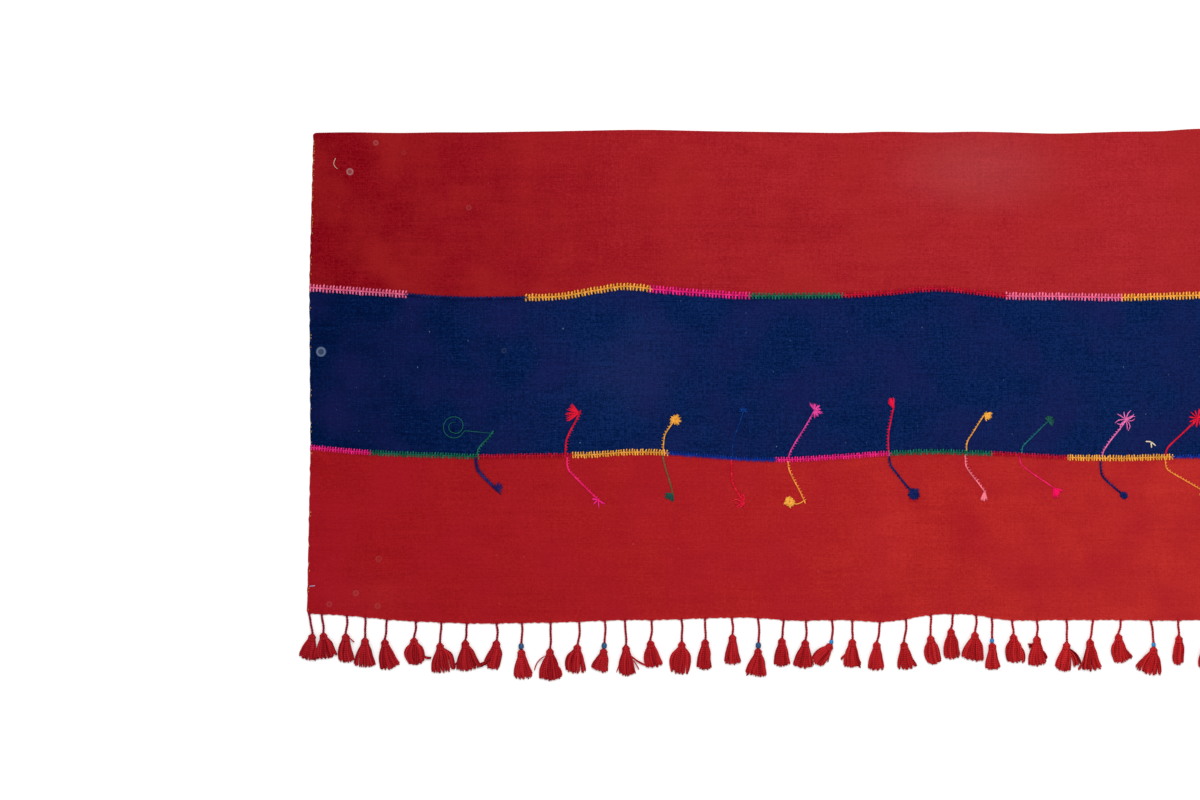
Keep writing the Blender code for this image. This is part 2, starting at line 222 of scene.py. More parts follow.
# The sprigs, one row for each half: where it leaves the lower join, its yarn, how far it rises (or
# drops), how far it sways and from which share of its length, its ticks (to its right if below 0), its
# yarn's weight, and its bloom. Angles are in degrees, from +X towards +Y.
Spray = namedtuple(
    "Spray",
    "x yarn rise sway bend tick weight petals stitches spread width facing size bloom_yarn hook coil",
    defaults=(None, None, None),
)
SPRAYS = [
    Spray(-816, "green", 36, 25, 0.2, -3.6, 1.0, 0, 0, 0, 0, 0, 0, coil=18),
    Spray(-818, "violet", -51, 33, 0.35, 3.6, 2.1, 5, 4, 140, 16, 8, 16),
    Spray(-666, "scarlet", 68, 24, 0.3, -3.4, 1.2, 4, 5, 92, 18, 172, 27),
    Spray(-663, "hot_pink", -72, 53, 0.3, 3.4, 1.25, 4, 3, 200, 16, -110, 14, "magenta"),
    Spray(-499, "gold", 53, 20, 0.5, 3.4, 1.0, 9, 3, 360, 30, 20, 11),
    Spray(-501, "olive", -66, 18, 0.0, 0.0, 1.1, 5, 4, 110, 24, -135, 15, "pine"),
    Spray(-382, "indigo", 77, 19, 0.3, 2.3, 0.8, 6, 2, 240, 24, 90, 9),
    Spray(-384, "scarlet", -71, 20, 0.5, 2.5, 1.3, 11, 1, 230, 0, 170, 18),
    Spray(-287, "fuchsia", 80, 45, 0.05, -3.3, 1.0, 7, 3, 250, 22, 15, 15),
    Spray(-288, "orange", -66, 28, 0.15, 3.3, 1.0, 9, 5, 360, 40, 0, 10.5, "gold", hook=(-25, -2)),
    Spray(-117, "crimson", 73, 9, 0.5, 3.4, 1.1, 3, 6, 44, 22, 112, 19),
    Spray(-115, "navy", -65, 41, 0.25, -3.4, 1.4, 10, 5, 360, 36, -40, 12.5),
    Spray(16, "gold", 62, 31, 0.25, 2.5, 0.9, 4, 6, 105, 28, -35, 14),
    Spray(13, "pink", -62, 33, 0.3, 3.7, 1.0, 5, 4, 44, 18, -92, 17),
    Spray(110, "teal", 54, 45, 0.2, 2.7, 0.9, 7, 4, 200, 24, 40, 11, "pine"),
    Spray(106, "hot_pink", -52, 57, 0.25, 0.0, 0.9, 5, 5, 75, 20, -55, 19, "cerise"),
    Spray(246, "orchid", 61, 41, 0.1, 3.0, 1.0, 11, 1, 340, 0, 80, 19),
    Spray(243, "navy", -60, 40, 0.45, 3.4, 1.35, 8, 4, 360, 40, -40, 8.5),
    Spray(354, "scarlet", 62, 55, 0.15, 0.0, 1.2, 11, 2, 340, 8, 170, 20),
    Spray(353, "orange", -56, 68, 0.3, 2.8, 0.9, 6, 3, 300, 22, -30, 13, "gold"),
    Spray(486, "gold", 62, 30, 0.3, 3.3, 1.0, 7, 3, 360, 24, 30, 12),
    Spray(486, "magenta", -60, 34, 0.4, 3.3, 1.0, 4, 4, 110, 24, -50, 13),
    Spray(618, "rose", 64, 28, 0.2, 3.3, 1.0, 6, 3, 320, 20, 60, 15),
    Spray(618, "navy", -60, 36, 0.4, 3.3, 1.2, 9, 4, 360, 36, -40, 9),
    Spray(748, "scarlet", 66, 24, 0.3, -3.3, 1.2, 5, 4, 120, 18, 130, 18),
    Spray(748, "gold", -60, 32, 0.3, 3.3, 1.0, 5, 3, 120, 24, -70, 13),
    Spray(880, "green", 58, 34, 0.2, -3.3, 1.0, 6, 3, 220, 24, 60, 12),
    Spray(880, "hot_pink", -58, 36, 0.4, 3.3, 0.9, 4, 4, 100, 24, -50, 13, "magenta"),
    Spray(1012, "orchid", 60, 30, 0.2, 3.0, 0.9, 9, 1, 340, 0, 70, 17),
    Spray(1012, "orange", -58, 34, 0.3, 3.3, 1.0, 6, 3, 300, 22, -40, 12, "gold"),
]
CHAIN_SHARE = 0.42
STEM_PITCH = 5.2
RIGHT_END_GAIN = 1.25
STEM_CORNER = 0.1
STEM_LIFT = 0.3
THREAD_LIFT = 0.6
COIL_LEAD = 0.16
COIL_MIDDLE = (-64, 10)

# One row for each tassel: where its cord leaves the hem, the cord's sideways run and its drop, the
# skirt's lean, spread and drop, the bead's kind, how far the skirt flops sideways, how much of its
# spread its tips keep (below 1 it is round, above 1 a fan), and its fuller side (left if below 0)
Tassel = namedtuple("Tassel", "root run cord lean spread drop bead flop tips lobe")
TASSELS = [
    Tassel(-1102, 7, 35, -9, 31, 45, None, -3, 1.1, 0.2),
    Tassel(-1080, 3, 32, 3, 37, 45, None, 3, 1.05, 0.6),
    Tassel(-1037, -2, 31, 1, 27, 50, None, 0, 1.0, -0.7),
    Tassel(-1006, 0, 35, -1, 39, 51, None, 1, 1.1, 0),
    Tassel(-969, -4, 34, 6, 35, 52, None, 5, 1.1, -0.3),
    Tassel(-920, -3, 28, 2, 35, 47, None, 0, 0.55, 0),
    Tassel(-877, -2, 35, 4, 45, 52, None, 3, 0.95, 1),
    Tassel(-833, -3, 29, 4, 41, 53, None, 2, 1.1, 0.4),
    Tassel(-783, 1, 29, -8, 31, 50, None, -4, 1.0, 0.9),
    Tassel(-740, -1, 45, 4, 32, 52, "navy", 0, 1.05, 0),
    Tassel(-691, -1, 44, 0, 39, 56, None, 0, 0.95, 0),
    Tassel(-642, -3, 39, -5, 37, 50, None, 1, 0.85, -0.6),
    Tassel(-599, -1, 48, -6, 29, 40, "navy", -4, 1.0, 0.4),
    Tassel(-565, 2, 43, 2, 30, 53, None, 0, 0.95, 0),
    Tassel(-519, -3, 35, 7, 31, 47, None, 2, 1.05, -0.8),
    Tassel(-469, 1, 38, -2, 37, 57, None, -3, 0.78, 0),
    Tassel(-429, 1, 36, -4, 25, 53, None, 0, 1.05, 0.6),
    Tassel(-383, 1, 29, 0, 28, 52, None, 0, 1.1, 0),
    Tassel(-339, 1, 52, -4, 37, 48, "navy", -2, 1.05, 0.3),
    Tassel(-295, -3, 31, 0, 30, 49, None, 0, 1.05, 0),
    Tassel(-257, -1, 33, -4, 37, 49, None, -1, 1.0, 0),
    Tassel(-213, -1, 41, -27, 25, 34, "sky", -2, 0.85, 0),
    Tassel(-179, 1, 32, -5, 31, 49, None, 5, 1.1, 0),
    Tassel(-131, -6, 34, -1, 31, 50, None, -1, 1.0, 0),
    Tassel(-87, -4, 39, 4, 33, 48, None, 2, 1.2, 0),
    Tassel(-45, -1, 35, 5, 28, 50, None, 4, 0.65, -0.5),
    Tassel(-7, -4, 25, 1, 29, 53, None, 1, 0.9, 0),
    Tassel(32, -2, 29, -2, 42, 50, None, -3, 0.95, 0),
    Tassel(58, 1, 43, 1, 24, 47, "sky", 0, 1.1, 0),
    Tassel(93, 2, 24, 2, 29, 50, None, 0, 0.76, 0),
    Tassel(135, 0, 27, -1, 33, 52, None, 2, 1.05, 0),
    Tassel(185, 1, 38, -6, 27, 50, None, -2, 0.95, 0),
    Tassel(231, -6, 33, 3, 32, 55, None, 1, 1.2, 0),
    Tassel(278, -5, 24, 5, 30, 50, None, 2, 0.95, -1),
    Tassel(328, 6, 45, -8, 46, 48, "sky", -2, 0.95, 0),
    Tassel(375, 1, 26, 0, 19, 51, None, 0, 0.8, 0),
    Tassel(423, 1, 34, 1, 34, 50, None, 0, 0.95, 0),
]

# Ends of yarn that stray from a tassel: its number, where the stray leaves it and where it ends, as
# sideways and downward steps from the head's top, its bow, how many strands it has and how they fan
Stray = namedtuple("Stray", "tassel from_x from_y to_x to_y bow strands fan")
STRAYS = [
    Stray(3, 6, -6, 15, -14, 0, 1, 0),
    Stray(6, 14, -24, 29, -34, -4, 5, 4),
    Stray(8, -10, -32, -21, -44, 1, 2, 3),
    Stray(9, -9, -26, -30, -43, 2, 5, 6),
    Stray(11, -8, -12, -27, -38, -4, 1, 0),
    Stray(11, 12, -28, 20, -47, 2, 3, 3),
    Stray(14, 3, -12, 32, -33, -2, 4, 2),
    Stray(14, -4, -20, -17, -48, -1, 1, 0),
    Stray(14, 11, -24, 23, -42, 1, 1, 0),
    Stray(19, -11, -30, -20, -46, 1, 2, 3),
    Stray(22, -3, -16, -6, -31, 0, 1, 0),
    Stray(23, 6, -30, 13, -49, 0, 3, 3),
    Stray(23, -11, -24, -20, -34, 0, 3, 4),
    Stray(25, 10, -28, 22, -42, 1, 3, 3),
    Stray(30, 9, -18, 18, -48, 4, 8, 6),
    Stray(31, 0, -10, -14, -16, 2, 6, 9),
    Stray(31, 9, -24, 17, -38, 1, 4, 5),
    Stray(32, 3, -12, 19, -39, 3, 22, 15),
    Stray(33, -10, -34, -19, -52, 0, 3, 4),
    Stray(34, 11, -24, 24, -40, 0, 6, 5),
    Stray(35, -8, -14, -30, -36, -2, 6, 7),
]
PLAIN_COUNT = 16
LAST_ROOT = 1098
PLAIN_SPREAD = 33
PLAIN_LEAN = 6
PLAIN_FIRST_FORM = 8
PLAIN_FORM_STEP = 5

SHADER_INPUTS = {
    "specular": "Specular IOR Level",
    "ior": "IOR",
    "colour": "Base Color",
    "glow_colour": "Emission Color",
    "glow": "Emission Strength",
}

# Node kinds, some with their operation, by the short names used below
ALIGN = "FunctionNodeAlignRotationToVector"
ATTRIBUTE = "ShaderNodeAttribute"
BUMP = "ShaderNodeBump"
CIRCLE = "GeometryNodeCurvePrimitiveCircle"
COMBINE = "ShaderNodeCombineXYZ"
COORDINATES = "ShaderNodeTexCoord"
COSINE = "ShaderNodeMath COSINE"
CURVE_TO_POINTS = "GeometryNodeCurveToPoints"
DUPLICATE = "GeometryNodeDuplicateElements"
FLOAT_CURVE = "ShaderNodeFloatCurve"
GROUP = "GeometryNodeGroup"
INDEX = "GeometryNodeInputIndex"
INSTANCE = "GeometryNodeInstanceOnPoints"
JOIN = "GeometryNodeJoinGeometry"
MAPPING = "ShaderNodeMapping"
MAP_RANGE = "ShaderNodeMapRange"
MATH = "ShaderNodeMath"
MESH_TO_CURVE = "GeometryNodeMeshToCurve"
MINUS = "ShaderNodeMath SUBTRACT"
MIX = "ShaderNodeMix"
NAMED = "GeometryNodeInputNamedAttribute"
NOISE = "ShaderNodeTexNoise"
OVER = "ShaderNodeMath DIVIDE"
PLUS = "ShaderNodeMath ADD"
RANDOM = "FunctionNodeRandomValue"
REALIZE = "GeometryNodeRealizeInstances"
ROTATE = "FunctionNodeRotateRotation"
SAMPLE_CURVE = "GeometryNodeSampleCurve"
SEPARATE = "ShaderNodeSeparateXYZ"
SET_MATERIAL = "GeometryNodeSetMaterial"
SET_POSITION = "GeometryNodeSetPosition"
SINE = "ShaderNodeMath SINE"
SPLINE = "GeometryNodeSplineParameter"
STORE = "GeometryNodeStoreNamedAttribute"
TIMES = "ShaderNodeMath MULTIPLY"
TIMES_PLUS = "ShaderNodeMath MULTIPLY_ADD"
TO_POWER = "ShaderNodeMath POWER"
VECTOR = "ShaderNodeVectorMath"
VECTOR_CROSS = "ShaderNodeVectorMath CROSS_PRODUCT"
VECTOR_PLUS = "ShaderNodeVectorMath ADD"
VECTOR_SCALE = "ShaderNodeVectorMath SCALE"

# A tassel's build, in metres or as shares
CORD_STEP = 0.0011
STRAND_SIDES = 5
LOCK_GATHER = 0.26
OUTER_SHORTER = 0.09
LOCK_SIDE_SHORTER = 0.09
RAGGED = 0.08
HEAD_WIDTH = 0.01
BUNDLE_HALF_WIDTH = 0.0051
STRAY_REACH = 0.0016
CURL_REACH = 0.0010
TASSEL_HEIGHT = 0.0108
LEAST_HEIGHT = 0.0004
NECK_HEIGHT = 0.0051
FIRST_TURN = 0.168
TURN_STEP = 0.024
BINDING_RADIUS = 0.0060
BINDING_YARN = 0.0016
BINDING_SQUASH = 0.68
BEAD_RINGS = 12
BEAD_STEPS = 24

# The photograph's frame on the floor
VIEW_MIDDLE = (-0.607, 0.008)
VIEW_WIDTH = 2.04
VIEW_HEIGHT = 4.5


def linear(hex_colour):
    """An sRGB hex colour as linear red, green and blue."""
    parts = [int(hex_colour[i : i + 2], 16) / 255 for i in (1, 3, 5)]
    return [c / 12.92 if c <= 0.04045 else ((c + 0.055) / 1.055) ** 2.4 for c in parts]


def length_setting(name, description, default):
    return FloatProperty(
        name=name, description=description, default=default, min=0, unit="LENGTH", precision=5
    )


def amount_setting(name, description, default):
    return FloatProperty(name=name, description=description, default=default, min=0)


def colour_setting(name, description, hex_colour):
    return FloatVectorProperty(
        name=name, description=description, default=linear(hex_colour), min=0, max=1, subtype="COLOR"
    )


class ClothSettings(bpy.types.PropertyGroup):
    """Sizes and dyes of the three woven cloths."""

    thickness: length_setting("Thickness", "How thick the woven cloth is", 0.0018)
    thread: length_setting("Thread pitch", "From one thread of the weave to the next", 0.0024)
    upper_deep: colour_setting("Upper red, deep", "The upper cloth where its dye is fresh", "#6e000d")
    upper_mid: colour_setting("Upper red, worn", "The upper cloth in its middle tone", "#90151e")
    upper_pale: colour_setting("Upper red, washed", "The upper cloth where it is most washed out", "#ad2a2e")
    upper_cast: colour_setting("Upper red, cast", "The warmer dye that shows in patches", "#9c2220")
    middle_deep: colour_setting("Blue, deep", "The blue cloth where its dye is fresh", "#010d31")
    middle_mid: colour_setting("Blue, worn", "The blue cloth in its middle tone", "#031944")
    middle_pale: colour_setting("Blue, washed", "The blue cloth where it is most washed out", "#102658")
    middle_cast: colour_setting("Blue, cast", "The violet dye that shows in patches", "#1b1a4e")
    lower_deep: colour_setting("Lower red, deep", "The lower cloth where its dye is fresh", "#880c16")
    lower_mid: colour_setting("Lower red, worn", "The lower cloth in its middle tone", "#a11c1f")
    lower_pale: colour_setting("Lower red, washed", "The lower cloth where it is most washed out", "#ba2e29")
    lower_cast: colour_setting("Lower red, cast", "The cooler dye that shows in patches", "#9c1524")


class NeedleworkSettings(bpy.types.PropertyGroup):
    """Sizes and yarns of the joins' and sprigs' needlework."""

    pitch: length_setting("Stitch pitch", "From one stitch of a join to the next", 0.0055)
    upper_reach: length_setting("Reach upwards", "How far the stitches reach above a join", 0.0066)
    lower_reach: length_setting("Reach downwards", "How far the stitches reach below a join", 0.0066)
    lower_pitch: length_setting("Lower stitch pitch", "From one stitch of the lower join to the next", 0.0045)
    yarn: length_setting("Yarn thickness", "The joins' two-ply yarn", 0.0031)
    lower_yarn: length_setting("Lower yarn thickness", "The lower join's yarn", 0.0026)
    stem_yarn: length_setting("Sprig yarn thickness", "The sprigs' finer yarn", 0.0013)
    rose: colour_setting("Rose", "Rose pink yarn", "#dc6288")
    pink: colour_setting("Pink", "Pale pink yarn", "#ee7484")
    navy: colour_setting("Navy", "Darkest blue yarn", "#0c1a50")
    gold: colour_setting("Gold", "Weld yellow yarn", "#de9b3a")
    magenta: colour_setting("Magenta", "Bright pink yarn", "#dc1f76")
    green: colour_setting("Green", "Bottle green yarn", "#15604a")
    teal: colour_setting("Teal", "Blue green yarn", "#1b5f66")
    pine: colour_setting("Pine", "Darkest green yarn", "#17463e")
    indigo: colour_setting("Indigo", "Blue yarn that barely shows", "#082f76")
    madder: colour_setting("Madder", "The joins' red yarn", "#ae1029")
    fuchsia: colour_setting("Fuchsia", "Purple pink yarn", "#cc3a8e")
    scarlet: colour_setting("Scarlet", "Bright red yarn", "#cf1530")
    royal: colour_setting("Royal blue", "Mid blue yarn", "#0c2c86")
    crimson: colour_setting("Crimson", "Cool red yarn", "#cc1038")
    orchid: colour_setting("Orchid", "Mauve pink yarn", "#d465a4")
    violet: colour_setting("Violet", "Blue violet yarn", "#241a54")
    hot_pink: colour_setting("Hot pink", "Bright red pink yarn", "#e21f63")
    cerise: colour_setting("Cerise", "Deep red pink yarn", "#d80a50")
    olive: colour_setting("Olive", "Dull green yarn", "#5d5a34")
    orange: colour_setting("Orange", "Marigold yarn", "#ee8f3c")
    ochre: colour_setting("Ochre", "Hem thread", "#c98a3c")
    cream: colour_setting("Cream", "Undyed wool", "#c9b9a0")
    sky: colour_setting("Pale blue", "Mending thread", "#8fa3cf")


class TasselSettings(bpy.types.PropertyGroup):
    """Sizes, yarns and beads of the tassels."""

    strands: IntProperty(name="Strands", description="Yarn ends in each tassel", default=54, min=6)
    strand: length_setting("Strand thickness", "One end of a tassel's yarn", 0.0028)
    cord: length_setting("Cord thickness", "The two-ply cord that a tassel hangs by", 0.0045)
    ply: length_setting("Cord twist", "One full turn of the cord's twist", 0.0085)
    navy_bead: length_setting("Navy bead", "Across a navy bead", 0.0096)
    sky_bead: length_setting("Sky bead", "Across a sky blue bead", 0.0070)
    skirt_left: colour_setting("Skirt, left", "The tassels' yarn at the left end", "#8c0e18")
    skirt_right: colour_setting("Skirt, right", "The tassels' yarn where it is brighter", "#a5181b")
    cord_left: colour_setting("Cord, left", "The tassel cords' yarn at the left end", "#7e0e26")
    cord_right: colour_setting("Cord, right", "The tassel cords' yarn where it is brighter", "#a61620")
    navy_glass: colour_setting("Navy glass", "The larger beads", "#08223c")
    sky_glass: colour_setting("Sky glass", "The smaller beads", "#083e66")


class StageSettings(bpy.types.PropertyGroup):
    """The studio around the runner."""

    floor_colour: colour_setting("Floor", "The studio floor", "#fbfbfb")
    floor_glow: amount_setting("Floor glow", "Light through the floor's paper", 0.12)
    world_strength: amount_setting("Sky light", "Strength of the even light", 0.80)
    key_strength: amount_setting("Soft box", "Power of the overhead light in watts", 72)


def add(tree, kind, inputs=(), **settings):
    """Adds a node with its settings. Inputs come in order or by name, each a value, a socket, or a node whose
    first output it takes."""
    kind, *operation = kind.split()
    node = tree.nodes.new(kind)
    if operation:
        node.operation = operation[0]
    for name, value in settings.items():
        setattr(node, name, value)
    named = inputs if isinstance(inputs, dict) else dict(enumerate(inputs))
    for key, value in named.items():
        if isinstance(value, bpy.types.Node):
            value = value.outputs[0]
        if isinstance(value, bpy.types.NodeSocket):
            tree.links.new(value, node.inputs[key])
        else:
            node.inputs[key].default_value = value
    return node


def new_tree(name, **inputs):
    """A geometry tree with one shape in and out and other named inputs, and its two end nodes."""
    tree = bpy.data.node_groups.new(name, "GeometryNodeTree")
    tree.interface.new_socket("Shape", in_out="INPUT", socket_type="NodeSocketGeometry")
    for label, kind in inputs.items():
        title = label.replace("_", " ").capitalize()
        tree.interface.new_socket(title, in_out="INPUT", socket_type=f"NodeSocket{kind}")
    tree.interface.new_socket("Shape", in_out="OUTPUT", socket_type="NodeSocketGeometry")
    return tree, tree.nodes.new("NodeGroupInput").outputs, tree.nodes.new("NodeGroupOutput").inputs[0]


def set_curve(node, points):
    """Gives a Float Curve node its smooth line."""
    line = node.mapping.curves[0]
    line.points[0].location = points[0]
    line.points[1].location = points[-1]
    for point in points[1:-1]:
        line.points.new(*point)
    node.mapping.update()
    return node


def line_y(line, x):
    """Where an edge or join runs at each x, on a smooth cubic through its stations."""
    at = np.array([station.x for station in STATIONS]) * MM
    stray = np.array([getattr(station, line) for station in STATIONS]) * MM
    last = len(at) - 1
    before = np.maximum(np.arange(last + 1) - 1, 0)
    after = np.minimum(np.arange(last + 1) + 1, last)
    slope = (stray[after] - stray[before]) / (at[after] - at[before])
    x = np.clip(x, at[0], at[-1])
    k = np.clip(np.searchsorted(at, x, side="right") - 1, 0, last - 1)
    span = at[k + 1] - at[k]
    t = (x - at[k]) / span
    smooth = (
        stray[k] * (2 * t**3 - 3 * t**2 + 1)
        + stray[k + 1] * (3 * t**2 - 2 * t**3)
        + slope[k] * span * (t**3 - 2 * t**2 + t)
        + slope[k + 1] * span * (t**3 - t**2)
    )
    return LINE_Y[line] + smooth


def swell(t):
    """1 in the middle, easing to 0 at the rim."""
    return np.cos(np.pi * np.clip(t, -1, 1) / 2) ** 2


def rise_of(ripples, x, y):
    """The height that ripples or creases give the cloth."""
    height = np.zeros(np.broadcast(x, y).shape)
    for ripple in ripples:
        turn = math.radians(ripple.turn)
        dx = x / MM - ripple.x
        dy = y / MM - ripple.y
        along = (dx * math.cos(turn) + dy * math.sin(turn)) / ripple.half_length
        across = (dy * math.cos(turn) - dx * math.sin(turn)) / ripple.half_width
        height += ripple.height * swell(along) * swell(across)
    return height * MM


def undulation(x, y):
    """The hand-woven cloth's own slight unevenness, never below 0."""
    broad = np.sin(61 * x + 3 * np.sin(17 * y)) + np.sin(53 * y + 2.5 * np.sin(23 * x))
    fine = np.sin(187 * x + 2 * np.sin(71 * y)) + np.sin(203 * y + 2 * np.sin(83 * x))
    return UNDULATION * MM * (1 + (0.7 * broad + 0.3 * fine) / 2) / 2


def puckers(x, y):
    """Small tucks where the needlework draws the cloths' edges in."""
    height = np.zeros(np.broadcast(x, y).shape)
    for line, phase in (("upper_join", 0.0), ("lower_join", 1.9)):
        away = np.abs(y - line_y(line, x)) / MM
        wave = np.sin(x * 610 + phase + 1.4 * np.sin(x * 91)) * np.sin(x * 173 + phase)
        height += PUCKER * (0.5 + 0.5 * wave) * np.exp(-((away / PUCKER_REACH) ** 2))
    return height * MM


def underside(x, y):
    return rise_of(RIPPLES, x, y) + rise_of(CREASES, x, y) + undulation(x, y) + puckers(x, y)


def surface(x, y):
    """The height of the cloth's face."""
    return underside(x, y) + bpy.context.scene.runner_cloth.thickness


def steps_across(width, step, edge_steps):
    """Places from 0 to 1 across a width in mm, close together at both edges."""
    inner = np.arange(edge_steps[-1] + step, width - edge_steps[-1] - step / 2, step)
    places = np.concatenate([edge_steps, inner, width - np.array(edge_steps[::-1])])
    return places / width


def put(name, mesh):
    """Links a mesh as an object at the origin."""
    thing = bpy.data.objects.new(name, mesh)
    bpy.context.scene.collection.objects.link(thing)
    return thing


def declare(piece, slot, *nodes):
    """Rides a finished piece on the one body, and hides the solids it stands for."""
    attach(piece, "root")
    if nodes:
        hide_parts(*nodes)
    return piece


def grow(name, host_mesh, tree, values):
    """Runs a tree on a host mesh and keeps the result as a plain mesh."""
    thing = put(name, host_mesh)
    maker = thing.modifiers.new(tree.name, "NODES")
    maker.node_group = tree
    for item in tree.interface.items_tree:
        if item.in_out == "INPUT" and item.name in values:
            maker[item.identifier] = values[item.name]
    graph = bpy.context.evaluated_depsgraph_get()
    made = bpy.data.meshes.new_from_object(
        thing.evaluated_get(graph), preserve_all_data_layers=True, depsgraph=graph
    )
    thing.modifiers.clear()
    thing.data = made
    made.name = name
    if not made.polygons:
        raise RuntimeError(f"{name} came out empty")
    return thing


def paths_mesh(name, paths):
    """A host mesh of open polylines."""
    mesh = bpy.data.meshes.new(name)
    points = [point for path in paths for point in path]
    edges = []
    start = 0
    for path in paths:
        edges += [(start + i, start + i + 1) for i in range(len(path) - 1)]
        start += len(path)
    mesh.from_pydata(points, edges, [])
    return mesh


def new_material(name, roughness, **inputs):
    """A material with its roughness and other constants set on its shader."""
    material = bpy.data.materials.new(name)
    material.use_nodes = True
    shader = material.node_tree.nodes["Principled BSDF"]
    shader.inputs["Roughness"].default_value = roughness
    for label, value in inputs.items():
        shader.inputs[SHADER_INPUTS[label]].default_value = value
    return material, material.node_tree, shader


def handwoven_wool(name, deep, mid, pale, cast, thread, grain, marks, fleck, fleck_strength):
    """Handspun wool in plain weave: matt with no gloss, each thread its own tone, paler where washed out."""
    material, tree, shader = new_material(name, 0.95, specular=0.015)
    place = add(tree, COORDINATES).outputs["Object"]

    # Streaks of single threads and bands of threads, each way, then cloudy patches of dye
    tone = add(tree, ATTRIBUTE, attribute_name="wash").outputs["Fac"]
    for width, height, strength in (
        (2.2, 6, 1.1 * grain),
        (7, 2.2, 1.2 * grain),
        (2, 2, 0.9 * grain),
        (2.6, 60, 0.5 * grain),
        (80, 2.6, 0.6 * grain),
        (220, 12, 0.16),
        (50, 40, 0.26),
        (10, 9, 0.2 * grain),
    ):
        scale = (1 / (width * MM), 1 / (height * MM), 1)
        stretched = add(tree, MAPPING, {"Vector": place, "Scale": scale})
        noise = add(tree, NOISE, {"Vector": stretched, "Scale": 1, "Detail": 2})
        centred = add(tree, MINUS, [noise, 0.5])
        tone = add(tree, TIMES_PLUS, [centred, strength, tone])
    dye = add(tree, "ShaderNodeValToRGB", {"Fac": tone})
    dye.color_ramp.elements.new(0.5)
    for stop, colour in zip(dye.color_ramp.elements, (deep, mid, pale)):
        stop.color = (*colour, 1)

    # A second dye bath shows in cloudy patches, and washing has left a chalky bloom
    bath = add(tree, NOISE, {"Vector": place, "Scale": 9, "Detail": 3})
    bath_share = add(tree, MAP_RANGE, {"Value": bath, "From Min": 0.42, "From Max": 0.66, "To Max": 0.45})
    dyed_twice = add(tree, MIX, {0: bath_share, 6: dye, 7: (*cast, 1)}, data_type="RGBA")
    chalk = add(tree, ATTRIBUTE, attribute_name="chalk").outputs["Fac"]
    chalky = add(
        tree, MIX, {0: chalk, 6: dyed_twice.outputs[2], 7: (*linear("#c8b8bc"), 1)}, data_type="RGBA"
    )
    colour = chalky.outputs[2]

    # Slubs, where the handspun thread thickens, and flecks of lint
    for scale, limit, shade, strength in (
        ((260, 900, 1), 0.76, [c * 0.35 for c in deep], 0.35),
        ((420, 300, 1), 0.785, fleck, fleck_strength),
    ):
        stretched = add(tree, MAPPING, {"Vector": place, "Scale": scale})
        noise = add(tree, NOISE, {"Vector": stretched, "Scale": 0.5, "Detail": 1})
        spot = add(
            tree,
            MAP_RANGE,
            {"Value": noise, "From Min": limit, "From Max": limit + 0.05, "To Max": strength},
        )
        spotted = add(tree, MIX, {0: spot, 6: colour, 7: (*shade, 1)}, data_type="RGBA")
        colour = spotted.outputs[2]

    # Water marks: a pale disc with a paler rim
    for mark in marks:
        middle = (mark.x * MM, mark.y * MM, 0)
        flat = add(tree, VECTOR, [place, (1, 1, 0)], operation="MULTIPLY")
        away = add(tree, VECTOR, [flat, middle], operation="DISTANCE")
        share = add(tree, OVER, [away.outputs["Value"], mark.radius * MM])
        rim = add(tree, FLOAT_CURVE, {"Value": share})
        set_curve(rim, [(0, 0.35), (0.45, 0.3), (0.72, 0.9), (0.85, 0.6), (1, 0)])
        weight = add(tree, TIMES, [rim, mark.strength])
        marked = add(tree, MIX, {0: weight, 6: colour, 7: (*fleck, 1)}, data_type="RGBA")
        colour = marked.outputs[2]

    # The weave: each thread goes over one and under the next. The real threads are about 1 mm apart, too
    # fine to show from here, so they are drawn about twice as coarse.
    parts = add(tree, SEPARATE, [place])
    waves = []
    for axis in ("X", "Y"):
        phase = add(tree, TIMES, [parts.outputs[axis], math.pi / thread])
        waves.append(add(tree, SINE, [phase]))
    crossing = add(tree, TIMES, [waves[0], waves[1]])
    relief = add(tree, TIMES_PLUS, [crossing, 0.35, tone])
    bump = add(tree, BUMP, {"Height": relief, "Strength": 0.5, "Distance": 0.0006})
    # Raised crossings are painted a tenth lighter and sunken ones a tenth darker: painted light and shade
    # over the bump
    shaded = add(tree, MAP_RANGE, {"Value": crossing, "From Min": -1, "To Min": 0.9, "To Max": 1.1})
    woven = add(tree, VECTOR_SCALE, {0: colour, "Scale": shaded.outputs[0]})
    tree.links.new(woven.outputs[0], shader.inputs["Base Color"])
    tree.links.new(bump.outputs[0], shader.inputs["Normal"])
    return material


